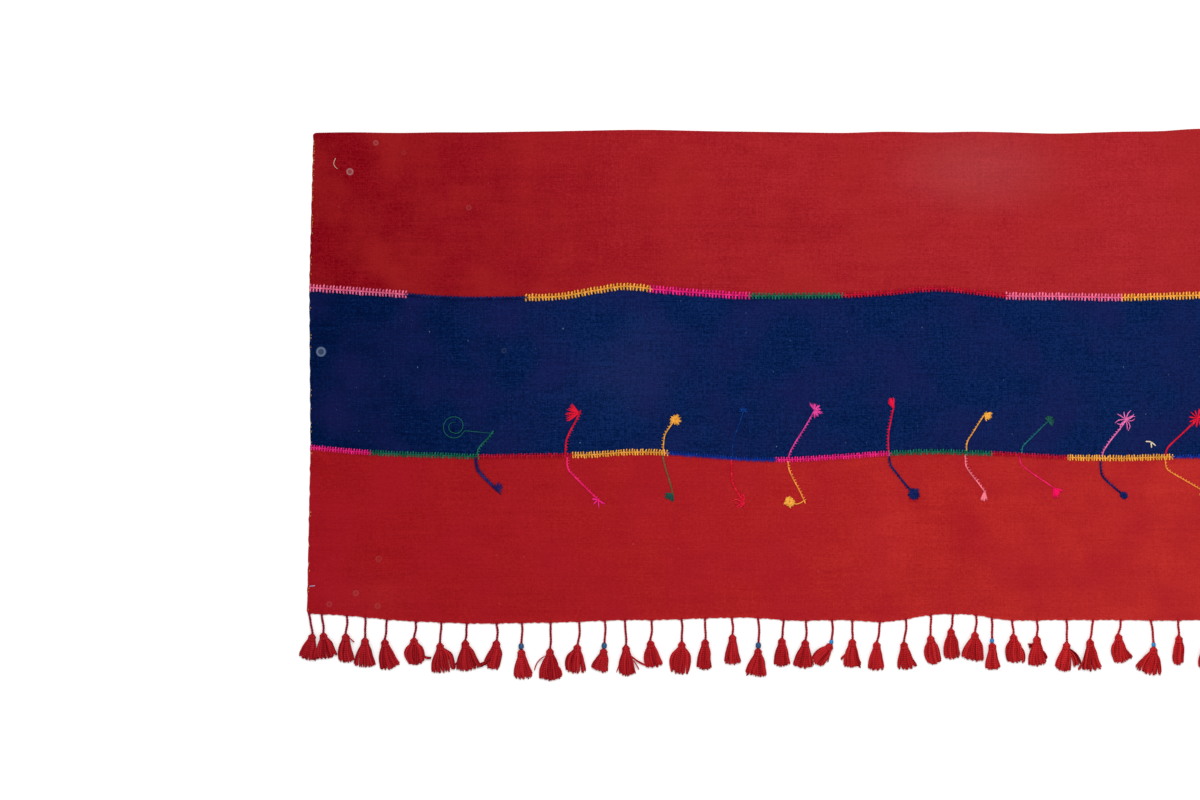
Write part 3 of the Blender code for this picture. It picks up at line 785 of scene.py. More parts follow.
def spun_yarn(name, colour, twist=0.004, variation=0.3, far_colour=None):
    """Two-ply wool yarn: painted light and shade along its twist, each end its own tone, its brightest parts
    paler as a painted highlight.
    """
    material, tree, shader = new_material(name, 0.85, specular=0.04)
    along = add(tree, ATTRIBUTE, attribute_name="along").outputs["Fac"]
    tone = add(tree, ATTRIBUTE, attribute_name="tone").outputs["Fac"]
    around = add(tree, ATTRIBUTE, attribute_name="around").outputs["Vector"]

    # The ply ridges wind round the yarn once every twist
    turns = add(tree, TIMES, [along, 2 * math.pi / twist])
    cosine = add(tree, COSINE, [turns])
    sine = add(tree, SINE, [turns])
    winding = add(tree, COMBINE, [cosine, sine])
    ridge = add(tree, VECTOR, [winding, around], operation="DOT_PRODUCT").outputs["Value"]
    bump = add(tree, BUMP, {"Height": ridge, "Strength": 0.6, "Distance": 0.0004})

    place = add(tree, COORDINATES).outputs["Object"]
    fuzz = add(tree, NOISE, {"Vector": place, "Scale": 900, "Detail": 2})
    mixed = add(tree, PLUS, [fuzz, tone])
    # Tone, fuzz and the ply ridges set the brightness; the ridges are painted light and shade, crests lighter
    # and hollows darker
    ridged = add(tree, TIMES_PLUS, [ridge, 0.25, mixed])
    shade = add(
        tree,
        MAP_RANGE,
        {"Value": ridged, "From Min": 0.3, "From Max": 1.7, "To Min": 1 - variation, "To Max": 1 + variation},
    )
    parts = add(tree, SEPARATE, [place])
    far = add(tree, MAP_RANGE, {"Value": parts, "From Min": -LENGTH / 2, "From Max": 0.3})
    blended = add(tree, MIX, {0: far, 6: (*colour, 1), 7: (*(far_colour or colour), 1)}, data_type="RGBA")
    dyed = add(tree, VECTOR_SCALE, {0: blended.outputs[2], "Scale": shade.outputs[0]})
    # The brightest parts are mixed towards a paler colour: a painted highlight
    highlight_share = add(tree, MAP_RANGE, {"Value": shade, "From Min": 1, "From Max": 1 + variation, "To Max": 0.25})
    highlight_colour = [c**0.6 for c in far_colour or colour]
    painted_highlight = add(tree, MIX, {0: highlight_share, 6: dyed, 7: (*highlight_colour, 1)}, data_type="RGBA")
    tree.links.new(painted_highlight.outputs[2], shader.inputs["Base Color"])
    tree.links.new(bump.outputs[0], shader.inputs["Normal"])
    return material


def bead_glass(name, colour):
    """Pressed glass, polished: deep at its rim, its middle painted brighter as a painted highlight."""
    material, tree, shader = new_material(name, 0.12, ior=1.52, specular=0.25)
    place = add(tree, COORDINATES).outputs["Object"]
    swirl = add(tree, NOISE, {"Vector": place, "Scale": 300, "Distortion": 1.5})
    # Where the bead faces the camera its colour is raised up to five times, mottled by the swirl: a painted
    # highlight
    rim = add(tree, "ShaderNodeLayerWeight", {"Blend": 0.5}).outputs["Facing"]
    clear = add(tree, MAP_RANGE, {"Value": rim, "From Min": 0.5, "From Max": 0.1})
    lit = add(tree, TIMES, [clear, swirl])
    depth = add(tree, MAP_RANGE, {"Value": lit, "From Max": 0.55, "To Min": 0.9, "To Max": 5})
    mixed = add(tree, VECTOR_SCALE, {0: colour, "Scale": depth.outputs[0]})
    tree.links.new(mixed.outputs[0], shader.inputs["Base Color"])
    return material


def yarn_tree():
    """Gives curves a yarn's round section, and marks where each point lies along and around it."""
    tree, given, result = new_tree("Yarn", thickness="Float", taper="Float", sides="Int", tone="Float")
    length = add(tree, SPLINE).outputs["Length"]
    measured = add(tree, STORE, {"Geometry": given["Shape"], "Name": "along", "Value": length})
    toned = add(tree, STORE, {"Geometry": measured, "Name": "tone", "Value": given["Tone"]}, domain="CURVE")
    radius = add(tree, TIMES, [given["Thickness"], 0.5])
    ring = add(tree, CIRCLE, {"Resolution": given["Sides"], "Radius": radius})
    position = add(tree, "GeometryNodeInputPosition")
    around = add(tree, VECTOR, [position], operation="NORMALIZE")
    profile = add(
        tree, STORE, {"Geometry": ring, "Name": "around", "Value": around}, data_type="FLOAT_VECTOR"
    )
    tube = add(
        tree,
        "GeometryNodeCurveToMesh",
        {"Curve": toned, "Profile Curve": profile, "Scale": given["Taper"], "Fill Caps": True},
    )
    smooth = add(tree, "GeometryNodeSetShadeSmooth", {"Geometry": tube})
    tree.links.new(smooth.outputs[0], result)
    return tree


def laid_tree(yarn):
    """Lays yarn along a mesh's edges, each stitch drawn in at its ends."""
    tree, given, result = new_tree(
        "Laid yarn", yarn_thickness="Float", sides="Int", seed="Int", yarn="Material"
    )
    line = add(tree, MESH_TO_CURVE, {"Mesh": given["Shape"]})
    share = add(tree, SPLINE).outputs["Factor"]
    half_turn = add(tree, TIMES, [share, math.pi])
    fullness = add(tree, SINE, [half_turn])
    taper = add(tree, MAP_RANGE, {"Value": fullness, "From Max": 0.4, "To Min": 0.5})
    tone = add(tree, RANDOM, {"Seed": given["Seed"]})
    section = {"Thickness": given["Yarn thickness"], "Taper": taper, "Sides": given["Sides"]}
    tube = add(tree, GROUP, {"Shape": line, **section, "Tone": tone.outputs[1]}, node_tree=yarn)
    real = add(tree, REALIZE, [tube])
    finished = add(tree, SET_MATERIAL, {"Geometry": real, "Material": given["Yarn"]})
    tree.links.new(finished.outputs[0], result)
    return tree


def teeth_tree():
    """Sets short arched stitches beside a line, one at each pitch, reaching left, or right if below 0."""
    tree, given, result = new_tree(
        "Teeth", pitch="Float", reach="Float", arch="Float", unevenness="Float", seed="Int"
    )
    places = add(tree, CURVE_TO_POINTS, {"Curve": given["Shape"], "Length": given["Pitch"]}, mode="LENGTH")
    stitch = add(
        tree,
        "GeometryNodeCurveQuadraticBezier",
        {"Resolution": 4, "Start": (0, 0.24, 0.4), "Middle": (0.08, 1.0, 1.0), "End": (0.12, 1, 0)},
    )
    number = add(tree, INDEX)
    along = add(tree, ALIGN, {"Vector": places.outputs["Tangent"]}, axis="X", pivot_axis="Z")
    back = add(tree, TIMES, [given["Unevenness"], -1])
    slant = add(tree, RANDOM, {2: back, 3: given["Unevenness"], "ID": number, "Seed": given["Seed"]})
    turn = add(tree, COMBINE, {"Z": slant.outputs[1]})
    slanted = add(tree, ROTATE, [along, turn], rotation_space="LOCAL")
    short = add(tree, MINUS, [1, given["Unevenness"]])
    other_seed = add(tree, PLUS, [given["Seed"], 7])
    share = add(tree, RANDOM, {2: short, 3: 1.08, "ID": number, "Seed": other_seed})
    reach = add(tree, TIMES, [given["Reach"], share.outputs[1]])
    size = add(tree, COMBINE, [given["Pitch"], reach, given["Arch"]])
    teeth = add(tree, INSTANCE, {"Points": places, "Instance": stitch, "Rotation": slanted, "Scale": size})
    tree.links.new(teeth.outputs[0], result)
    return tree


def needlework_tree(yarn, teeth):
    """A chain of loops along a line, with a row of stitches reaching out of each side of it."""
    tree, given, result = new_tree(
        "Needlework",
        pitch="Float",
        left_reach="Float",
        right_reach="Float",
        yarn_thickness="Float",
        chain_thickness="Float",
        unevenness="Float",
        seed="Int",
        yarn="Material",
    )
    line = add(tree, MESH_TO_CURVE, {"Mesh": given["Shape"]})
    right = add(tree, TIMES, [given["Right reach"], -1])
    other_seed = add(tree, PLUS, [given["Seed"], 31])
    shared = {"Shape": line, "Pitch": given["Pitch"], "Arch": given["Yarn thickness"]}
    shared["Unevenness"] = given["Unevenness"]
    rows = [
        add(tree, GROUP, {**shared, "Reach": reach, "Seed": seed}, node_tree=teeth)
        for reach, seed in ((given["Left reach"], given["Seed"]), (right, other_seed))
    ]
    places = add(tree, CURVE_TO_POINTS, {"Curve": line, "Length": given["Pitch"]}, mode="LENGTH")
    along = add(tree, ALIGN, {"Vector": places.outputs["Tangent"]}, axis="X", pivot_axis="Z")
    tilted = add(tree, ROTATE, [along, (0, 0.12, 0)], rotation_space="LOCAL")
    loop = add(tree, CIRCLE, {"Resolution": 8, "Radius": 0.5})
    lifted = add(tree, "GeometryNodeTransform", {"Geometry": loop, "Translation": (0.3, 0, 0.7)})
    link_length = add(tree, TIMES, [given["Pitch"], 1.3])
    link_width = add(tree, TIMES, [given["Chain thickness"], 0.9])
    size = add(tree, COMBINE, [link_length, link_width, given["Yarn thickness"]])
    chain = add(tree, INSTANCE, {"Points": places, "Instance": lifted, "Rotation": tilted, "Scale": size})
    teeth_rows = add(tree, JOIN)
    for row in rows:
        tree.links.new(row.outputs[0], teeth_rows.inputs[0])
    together = add(tree, JOIN)
    tone = add(tree, RANDOM, {"Seed": given["Seed"]})
    for part, thickness in ((chain, "Chain thickness"), (teeth_rows, "Yarn thickness")):
        real = add(tree, REALIZE, [part])
        tube = add(
            tree,
            GROUP,
            {"Shape": real, "Thickness": given[thickness], "Taper": 1, "Sides": 4, "Tone": tone.outputs[1]},
            node_tree=yarn,
        )
        tree.links.new(tube.outputs[0], together.inputs[0])
    whole = add(tree, REALIZE, [together])
    finished = add(tree, SET_MATERIAL, {"Geometry": whole, "Material": given["Yarn"]})
    tree.links.new(finished.outputs[0], result)
    return tree


def tassel_tree(yarn):
    """From a path marked with where its skirt starts: a two-ply cord, and strands that spread from a bound
    head."""
    tree, given, result = new_tree(
        "Tassel",
        strands="Int",
        strand_thickness="Float",
        cord_thickness="Float",
        cord_twist="Float",
        half_spread="Float",
        tips="Float",
        lobe="Float",
        clumps="Int",
        seed="Int",
        skirt_yarn="Material",
        cord_yarn="Material",
    )
    in_skirt = add(tree, NAMED, {"Name": "skirt"}, data_type="BOOLEAN")
    in_cord = add(tree, "FunctionNodeBooleanMath", [in_skirt], operation="NOT")

    # The cord: two plies wound round each other
    cord_line = add(tree, MESH_TO_CURVE, {"Mesh": given["Shape"], "Selection": in_cord})
    fine = add(tree, "GeometryNodeResampleCurve", {"Curve": cord_line, "Length": CORD_STEP}, mode="LENGTH")
    plies = add(tree, DUPLICATE, {"Geometry": fine, "Amount": 2}, domain="SPLINE")
    run = add(tree, SPLINE).outputs["Length"]
    turns = add(tree, OVER, [run, given["Cord twist"]])
    halves = add(tree, TIMES_PLUS, [plies.outputs["Duplicate Index"], 0.5, turns])
    angle = add(tree, TIMES, [halves, 2 * math.pi])
    cosine = add(tree, COSINE, [angle])
    sine = add(tree, SINE, [angle])
    tangent = add(tree, "GeometryNodeInputTangent")
    side = add(tree, VECTOR_CROSS, [(0, 0, 1), tangent])
    sideways = add(tree, VECTOR_SCALE, {0: side, "Scale": cosine})
    upward = add(tree, COMBINE, {"Z": sine})
    winding = add(tree, VECTOR_PLUS, [sideways, upward])
    ply_radius = add(tree, TIMES, [given["Cord thickness"], 0.2])
    offset = add(tree, VECTOR_SCALE, {0: winding, "Scale": ply_radius})
    wound = add(tree, SET_POSITION, {"Geometry": plies, "Offset": offset})
    ply_thickness = add(tree, TIMES, [given["Cord thickness"], 0.6])
    cord_tone = add(tree, RANDOM, {2: 0.3, 3: 0.7, "Seed": given["Seed"]})
    cord_tube = add(
        tree,
        GROUP,
        {"Shape": wound, "Thickness": ply_thickness, "Taper": 1, "Sides": 6, "Tone": cord_tone.outputs[1]},
        node_tree=yarn,
    )
    marked = {"Geometry": cord_tube, "Name": "is_cord", "Value": True}
    cord = add(tree, STORE, marked, data_type="BOOLEAN")

    # The skirt: each strand has its place across, from 0 to 1, and its depth
    axis_line = add(tree, MESH_TO_CURVE, {"Mesh": given["Shape"], "Selection": in_skirt})
    copies = add(tree, DUPLICATE, {"Geometry": axis_line, "Amount": given["Strands"]}, domain="SPLINE")
    number = copies.outputs["Duplicate Index"]
    chances = []
    for low, step in ((0, 1), (0, 2), (-1, 3), (-1, 4), (0, 5)):
        seed = add(tree, PLUS, [given["Seed"], step])
        chance = add(tree, RANDOM, {2: low, 3: 1, "ID": number, "Seed": seed})
        chances.append(chance.outputs[1])
    jitter, depth, wander, wave, shortness = chances
    share = add(tree, SPLINE).outputs["Factor"]
    slot_place = add(tree, PLUS, [number, jitter])
    across = add(tree, OVER, [slot_place, given["Strands"]])
    locks = add(tree, TIMES, [across, given["Clumps"]])
    lock = add(tree, MATH, [locks], operation="FLOOR")
    lock_middle = add(tree, PLUS, [lock, 0.5])
    from_middle = add(tree, MINUS, [locks, lock_middle])
    gather = add(tree, TIMES, [share, LOCK_GATHER])
    drawn_in = add(tree, TIMES, [from_middle, gather])
    gathered = add(tree, MINUS, [locks, drawn_in])
    place = add(tree, OVER, [gathered, given["Clumps"]])
    out = add(tree, MAP_RANGE, {"Value": place, "To Min": -1}, clamp=False).outputs[0]

    # Outer strands, and those at the sides of each lock, end sooner
    out_squared = add(tree, TIMES, [out, out])
    lock_side = add(tree, MATH, [from_middle], operation="ABSOLUTE")
    shorter = add(tree, TIMES, [out_squared, OUTER_SHORTER])
    for amount, weight in ((lock_side, LOCK_SIDE_SHORTER), (shortness, RAGGED)):
        shorter = add(tree, TIMES_PLUS, [amount, weight, shorter])
    length = add(tree, MINUS, [1, shorter])
    reached = add(tree, TIMES, [share, length])
    middle = add(tree, SAMPLE_CURVE, {"Curves": axis_line, "Factor": reached}, mode="FACTOR")
    axis_side = add(tree, VECTOR_CROSS, [(0, 0, 1), middle.outputs["Tangent"]])

    # How wide and how high the tassel is from its crown, over the bound neck, to its tips
    head = set_curve(
        add(tree, FLOAT_CURVE, {"Value": reached}),
        [(0, 0.14), (0.04, 0.4), (0.09, 0.58), (0.14, 0.6), (0.18, 0.5), (0.22, 0.48), (0.4, 0.5), (1, 0.48)],
    )
    full = set_curve(
        add(tree, FLOAT_CURVE, {"Value": reached}),
        [(0, 0), (0.17, 0), (0.22, 0.2), (0.31, 0.62), (0.44, 0.9), (0.62, 1), (1, 1)],
    )
    fanned = set_curve(
        add(tree, FLOAT_CURVE, {"Value": reached}),
        [(0, 0), (0.17, 0), (0.26, 0.17), (0.48, 0.52), (0.75, 0.83), (1, 1)],
    )
    rounder = add(tree, MAP_RANGE, {"Value": given["Tips"], "From Min": 1, "From Max": 0.78})
    fullness = add(tree, TIMES_PLUS, [given["Lobe"], out, rounder], use_clamp=True)
    opening = add(tree, MIX, {0: fullness, 2: fanned, 3: full})
    crest = set_curve(
        add(tree, FLOAT_CURVE, {"Value": reached}),
        [(0, 0.52), (0.08, 0.96), (0.14, 0.96), (0.19, 0.76), (0.32, 0.9), (0.7, 0.62), (1, 0.3)],
    )
    bundle = add(tree, TIMES, [head, HEAD_WIDTH])
    opened = add(tree, MINUS, [given["Half spread"], BUNDLE_HALF_WIDTH])
    tip_share = add(
        tree,
        MAP_RANGE,
        {"Value": reached, "From Min": 0.55, "To Min": 1, "To Max": given["Tips"]},
        interpolation_type="SMOOTHSTEP",
    )
    closing = add(tree, TIMES, [opened, tip_share])
    half_width = add(tree, TIMES_PLUS, [opening, closing, bundle])
    share_cubed = add(tree, TO_POWER, [share, 3])
    straying = add(tree, TIMES, [wander, share_cubed])
    stray = add(tree, TIMES, [straying, STRAY_REACH])
    wave_turns = add(tree, TIMES_PLUS, [share, 7, wave])
    rolling = add(tree, SINE, [wave_turns])
    rolling_share = add(tree, TIMES, [rolling, share])
    curl = add(tree, TIMES_PLUS, [rolling_share, CURL_REACH, stray])
    shift = add(tree, TIMES_PLUS, [out, half_width, curl])
    flank = add(tree, VECTOR_SCALE, {0: axis_side, "Scale": shift})
    spot = add(tree, VECTOR_PLUS, [middle.outputs["Position"], flank])

    # Strands lie one over another, up to the crest in the middle
    inner = add(tree, MINUS, [1, out_squared])
    dome = add(tree, TO_POWER, [inner, 0.5])
    layer = add(tree, TO_POWER, [depth, 0.6])
    level = add(tree, MAP_RANGE, {"Value": layer, "To Min": -0.8})
    bulge = add(tree, TIMES, [dome, level])
    stack = add(tree, MAP_RANGE, {"Value": bulge, "From Min": -1, "To Min": 0})
    room = add(tree, TIMES, [crest, TASSEL_HEIGHT])
    clear = add(tree, MINUS, [room, given["Strand thickness"]])
    above = add(tree, MATH, [clear, LEAST_HEIGHT], operation="MAXIMUM")
    half_strand = add(tree, TIMES, [given["Strand thickness"], 0.5])
    height = add(tree, TIMES_PLUS, [stack, above, half_strand])
    raised = add(tree, COMBINE, {"Z": height})
    at = add(tree, VECTOR_PLUS, [spot, raised])
    laid = add(tree, SET_POSITION, {"Geometry": copies, "Position": at})
    tip = add(tree, MAP_RANGE, {"Value": share, "From Min": 0.85, "To Min": 1, "To Max": 0.8})
    # Each strand's tone is its random jitter mixed with its depth, lower strands darker: painted shade
    # between the strands
    deep = add(tree, TIMES, [depth, 0.42])
    tone_and_depth_shade = add(tree, TIMES_PLUS, [jitter, 0.58, deep])
    section = {"Thickness": given["Strand thickness"], "Taper": tip, "Sides": STRAND_SIDES}
    skirt = add(tree, GROUP, {"Shape": laid, **section, "Tone": tone_and_depth_shade}, node_tree=yarn)

    # Three turns of yarn bind the neck
    turns_line = add(tree, "GeometryNodeMeshLine", {"Count": 3})
    turn_number = add(tree, INDEX)
    turn_share = add(tree, TIMES_PLUS, [turn_number, TURN_STEP, FIRST_TURN])
    neck = add(tree, SAMPLE_CURVE, {"Curves": axis_line, "Factor": turn_share}, mode="FACTOR")
    neck_middle = add(tree, VECTOR_PLUS, [neck.outputs["Position"], (0, 0, NECK_HEIGHT)])
    neck_points = add(tree, SET_POSITION, {"Geometry": turns_line, "Position": neck_middle})
    facing = add(tree, ALIGN, {"Vector": neck.outputs["Tangent"]}, axis="Z")
    upright = {"Rotation": facing, "Vector": (0, 0, 1)}
    standing = add(tree, ALIGN, upright, axis="Y", pivot_axis="Z")
    coil = add(tree, CIRCLE, {"Resolution": 12, "Radius": BINDING_RADIUS})
    coils = add(
        tree,
        INSTANCE,
        {"Points": neck_points, "Instance": coil, "Rotation": standing, "Scale": (1, BINDING_SQUASH, 1)},
    )
    real_coils = add(tree, REALIZE, [coils])
    section = {"Thickness": BINDING_YARN, "Taper": 1, "Sides": STRAND_SIDES}
    binding = add(tree, GROUP, {"Shape": real_coils, **section, "Tone": 0.75}, node_tree=yarn)

    together = add(tree, JOIN)
    for part in (cord, skirt, binding):
        tree.links.new(part.outputs[0], together.inputs[0])
    is_cord = add(tree, NAMED, {"Name": "is_cord"}, data_type="BOOLEAN")
    real = add(tree, REALIZE, [together])
    dressed = add(tree, SET_MATERIAL, {"Geometry": real, "Material": given["Skirt yarn"]})
    in_cord_yarn = {"Geometry": dressed, "Selection": is_cord, "Material": given["Cord yarn"]}
    finished = add(tree, SET_MATERIAL, in_cord_yarn)
    tree.links.new(finished.outputs[0], result)
    return tree


def cloth_mesh(name, low_line, high_line, width):
    """One woven cloth's underside as a grid, its edges on its lines, marked with how washed out it is and a
    painted highlight along the hem.
    """
    across = steps_across(width / MM, ROW_STEP, EDGE_ROWS)
    along = steps_across(LENGTH / MM, COLUMN_STEP, EDGE_ROWS)
    u, v = np.meshgrid(along, across)
    left = (LEFT_END[low_line] * (1 - v) + LEFT_END[high_line] * v) * MM - LENGTH / 2
    x = left + u * (LENGTH / 2 - left)
    low = line_y(low_line, x) + (HALF_GAP if low_line.endswith("join") else 0)
    high = line_y(high_line, x) - (HALF_GAP if high_line.endswith("join") else 0)
    y = low + v * (high - low)

    # The open corners are rounded
    for edge, is_open in ((low, low_line == "hem"), (high, high_line == "top")):
        if not is_open:
            continue
        for end in (left, np.full_like(left, LENGTH / 2)):
            inward_x = CORNER_RADIUS - np.abs(x - end)
            inward_y = CORNER_RADIUS - np.abs(y - edge)
            corner = (inward_x > 0) & (inward_y > 0)
            shrink = np.maximum(inward_x, inward_y) / np.maximum(np.hypot(inward_x, inward_y), 1e-9)
            x = np.where(corner, x + np.sign(end) * (-1) * inward_x * (1 - shrink), x)
            y = np.where(corner, y + np.sign(0.05 - edge) * inward_y * (1 - shrink), y)

    # The hem's selvedge is knobbly, and each tassel's cord draws it down a little
    if low_line == "hem":
        knobs = np.sin(x * 633 + 2 * np.sin(x * 57)) + np.sin(x * 397 + 1.3) + 0.6 * np.sin(x * 1210)
        drawn = sum(swell((x / MM - row.root) / CORD_DRAW_REACH) for row in all_tassels())
        pull = (SELVEDGE_KNOBS * knobs / 2.6 + CORD_DRAW * drawn) * MM
        y -= pull * np.exp(-(y - low) / (3 * MM))
    ripple = np.sin(y * 367) + np.sin(y * 211 + 2.1)
    x += END_WAVER * MM * ripple / 2 * np.exp(-(x - left) / (4 * MM))
    z = underside(x, y)
    count = len(along)
    points = np.stack([x, y, z], axis=-1).reshape(-1, 3)
    first = (np.arange(len(across) - 1)[:, None] * count + np.arange(count - 1)[None, :]).ravel()
    faces = np.stack([first, first + 1, first + 1 + count, first + count], axis=-1)
    mesh = bpy.data.meshes.new(name)
    mesh.from_pydata(points.tolist(), [], faces.tolist())
    mesh.shade_smooth()
    stations = [wash.x for wash in WASHES]
    amounts = [getattr(wash, name.split("_")[0]) for wash in WASHES]
    wash = np.interp(x / MM, stations, amounts)
    chalk = np.zeros_like(wash)
    for fade in FADES:
        away = np.hypot((x / MM - fade.x) / fade.half_length, (y / MM - fade.y) / fade.half_width)
        wash += fade.wash * swell(away)
        chalk += fade.chalk * swell(away)
    # A paler band along the hem's edge is added to the wash: a painted highlight on the selvedge
    if low_line == "hem":
        wash += 0.25 * np.exp(-(y - low) / (2.5 * MM))
    for label, amount in (("wash", wash), ("chalk", chalk)):
        layer = mesh.attributes.new(label, "FLOAT", "POINT")
        layer.data.foreach_set("value", amount.ravel())
    return mesh


def on_cloth(x, y, height=0.0):
    """Points on the cloth's face, raised by a height."""
    x, y = np.broadcast_arrays(x, y)
    return np.stack([x, y, surface(x, y) + height], axis=-1).tolist()


def stem_points(spray):
    """A sprig's stem, from the join up or down, straight at first and then swaying to the right."""
    up = 1 if spray.rise > 0 else -1
    start_x = spray.x * MM
    start_y = float(line_y("lower_join", start_x)) + up * 3.5 * MM
    count = max(3, round(abs(spray.rise) / 2.2))
    t = np.linspace(0, 1, count)
    turned = np.hypot(t - spray.bend, STEM_CORNER) + t - spray.bend
    sway = (turned - turned[0]) / (turned[-1] - turned[0])
    x = start_x + spray.sway * MM * sway + 0.4 * MM * np.sin(9 * t + spray.x)
    y = start_y + spray.rise * MM * t
    return x, y


def hook_points(start_x, start_y, hook, count=9):
    """A thread that leaves a stem's end and turns over to the hook's end."""
    t = np.linspace(0, 1, count)
    x = start_x + hook[0] * MM * t
    y = start_y + hook[1] * MM * t - 5 * MM * np.sin(np.pi * t)
    return x, y


def coil_points(start_x, start_y, coil_radius):
    """A thread that leads from a stem's end to a coil, which it goes round and then into."""
    t = np.linspace(0, 1, 60)
    angle = np.pi * (-0.1 - 3.5 * np.maximum(t - COIL_LEAD, 0) / (1 - COIL_LEAD))
    inner = np.clip((t - 0.55) / 0.2, 0, 1)
    radius = coil_radius * MM * (1 - 0.5 * inner)
    lead = np.clip(t / COIL_LEAD, 0, 1)
    x = start_x + lead * (radius * np.cos(angle) + COIL_MIDDLE[0] * MM)
    y = start_y + lead * (radius * np.sin(angle) + COIL_MIDDLE[1] * MM)
    return x, y


def bloom_paths(middle_x, middle_y, spray, seed):
    """A bloom's stitches, fanning out petal by petal from its middle."""
    chance = np.random.default_rng(seed)
    paths = []
    arch = 0.5 * MM + 0.7 * MM * np.sin(np.linspace(0.1, 0.9, 4) * np.pi)
    for petal in range(spray.petals):
        petal_angle = spray.facing + spray.spread * ((petal + 0.5) / spray.petals - 0.5)
        petal_size = spray.size * chance.uniform(0.8, 1.05)
        curl = chance.uniform(-0.7, 0.7) if spray.stitches == 1 else 0
        for stitch in range(spray.stitches):
            place = (stitch + 0.5) / spray.stitches - 0.5
            angle = math.radians(petal_angle + spray.width * place + chance.uniform(-4, 4))
            reach = petal_size * (1 - 0.35 * abs(place)) * chance.uniform(0.85, 1.05)
            r = np.linspace(0.08 * petal_size, reach, 4) * MM
            turned = angle + curl * np.linspace(0, 1, 4) ** 2
            paths.append(on_cloth(middle_x + r * np.cos(turned), middle_y + r * np.sin(turned), arch))
    return paths


def bead_mesh(name, middle, axis, across, hole):
    """A round bead with a hole along its cord."""
    build = bmesh.new()
    side = Vector((-axis.y, axis.x, 0))
    up = Vector((0, 0, 1))
    radius = across / 2
    profile = []
    for i in range(BEAD_RINGS + 1):
        angle = math.pi * i / BEAD_RINGS
        profile.append((-radius * math.cos(angle), hole + (radius - hole) * math.sin(angle) ** 0.8))
    profile += [(radius * 0.7, hole * 0.9), (-radius * 0.7, hole * 0.9)]
    rings = []
    for along, out in profile:
        ring = []
        for j in range(BEAD_STEPS):
            turn = 2 * math.pi * j / BEAD_STEPS
            offset = side * (math.cos(turn) * out) + up * (math.sin(turn) * out)
            ring.append(build.verts.new(middle + axis * along + offset))
        rings.append(ring)
    for ring, onward in zip(rings, rings[1:] + rings[:1]):
        for j in range(BEAD_STEPS):
            k = (j + 1) % BEAD_STEPS
            build.faces.new((ring[j], ring[k], onward[k], onward[j]))
    bmesh.ops.recalc_face_normals(build, faces=build.faces)
    mesh = bpy.data.meshes.new(name)
    build.to_mesh(mesh)
    build.free()
    mesh.shade_smooth()
    return mesh


def stray_paths(stray, head_top):
    """The ends of one stray lock, side by side on the floor."""
    start = head_top + Vector((stray.from_x, stray.from_y, 0)) * MM
    run = head_top + Vector((stray.to_x, stray.to_y, 0)) * MM - start
    side = Vector((-run.y, run.x, 0)).normalized()
    chance = np.random.default_rng(round(stray.tassel * 7 + stray.from_x))
    paths = []
    for strand in range(stray.strands):
        place = (strand + 0.5) / stray.strands - 0.5
        length = chance.uniform(0.88, 1.04)
        level = chance.uniform(0, 1)
        path = []
        for t in np.linspace(0, 1, 9):
            across = stray.bow * math.sin(math.pi * t) + stray.fan * place * (0.4 + 0.6 * t)
            height = 1.5 + (3.5 + 2 * level) * (1 - t) + 1.5 * level * t
            path.append(start + run * (t * length) + side * (across * MM) + Vector((0, 0, height * MM)))
        paths.append(path)
    return paths


def all_tassels():
    """The tassels row by row, and then the plainer ones up to the far corner."""
    first = TASSELS[-1].root
    pitch = (LAST_ROOT - first) / PLAIN_COUNT
    plain = []
    for i in range(PLAIN_COUNT):
        form = TASSELS[(PLAIN_FIRST_FORM + PLAIN_FORM_STEP * i) % len(TASSELS)]
        plain.append(
            form._replace(
                root=first + pitch * (i + 1),
                run=-form.run,
                lean=max(min(-form.lean, PLAIN_LEAN), -PLAIN_LEAN),
                spread=min(form.spread, PLAIN_SPREAD),
            )
        )
    return TASSELS + plain


class RUNNER_OT_weave_cloths(bpy.types.Operator):
    """Weaves the three cloths and lays them edge to edge"""

    bl_idname = "runner.weave_cloths"
    bl_label = "Weave the cloths"

    def execute(self, context):
        cloth = context.scene.runner_cloth
        red = ("red_cloth", 0.5, linear("#c9a9a6"), 0.12)
        blue = ("blue_cloth", 1.4, linear("#9db4d6"), 0.45)
        cloths = (
            ("upper_cloth", "upper_join", "top", UPPER_WIDTH, red, UPPER_MARKS),
            ("middle_cloth", "lower_join", "upper_join", MIDDLE_WIDTH, blue, MIDDLE_MARKS),
            ("lower_cloth", "hem", "lower_join", LOWER_WIDTH, red, LOWER_MARKS),
        )
        for node, low, high, width, (slot, grain, lint, lint_strength), marks in cloths:
            which = node.split("_")[0]
            dyes = [tuple(getattr(cloth, f"{which}_{tone}")) for tone in ("deep", "mid", "pale", "cast")]
            mesh = cloth_mesh(node + "_woven", low, high, width)
            mesh.materials.append(
                handwoven_wool(
                    f"handspun wool, {which} cloth", *dyes, cloth.thread, grain, marks, lint, lint_strength
                )
            )
            piece = put(node + "_woven", mesh)
            body = piece.modifiers.new("thickness", "SOLIDIFY")
            body.thickness = cloth.thickness
            body.offset = 1
            declare(piece, slot, node)
        return {"FINISHED"}


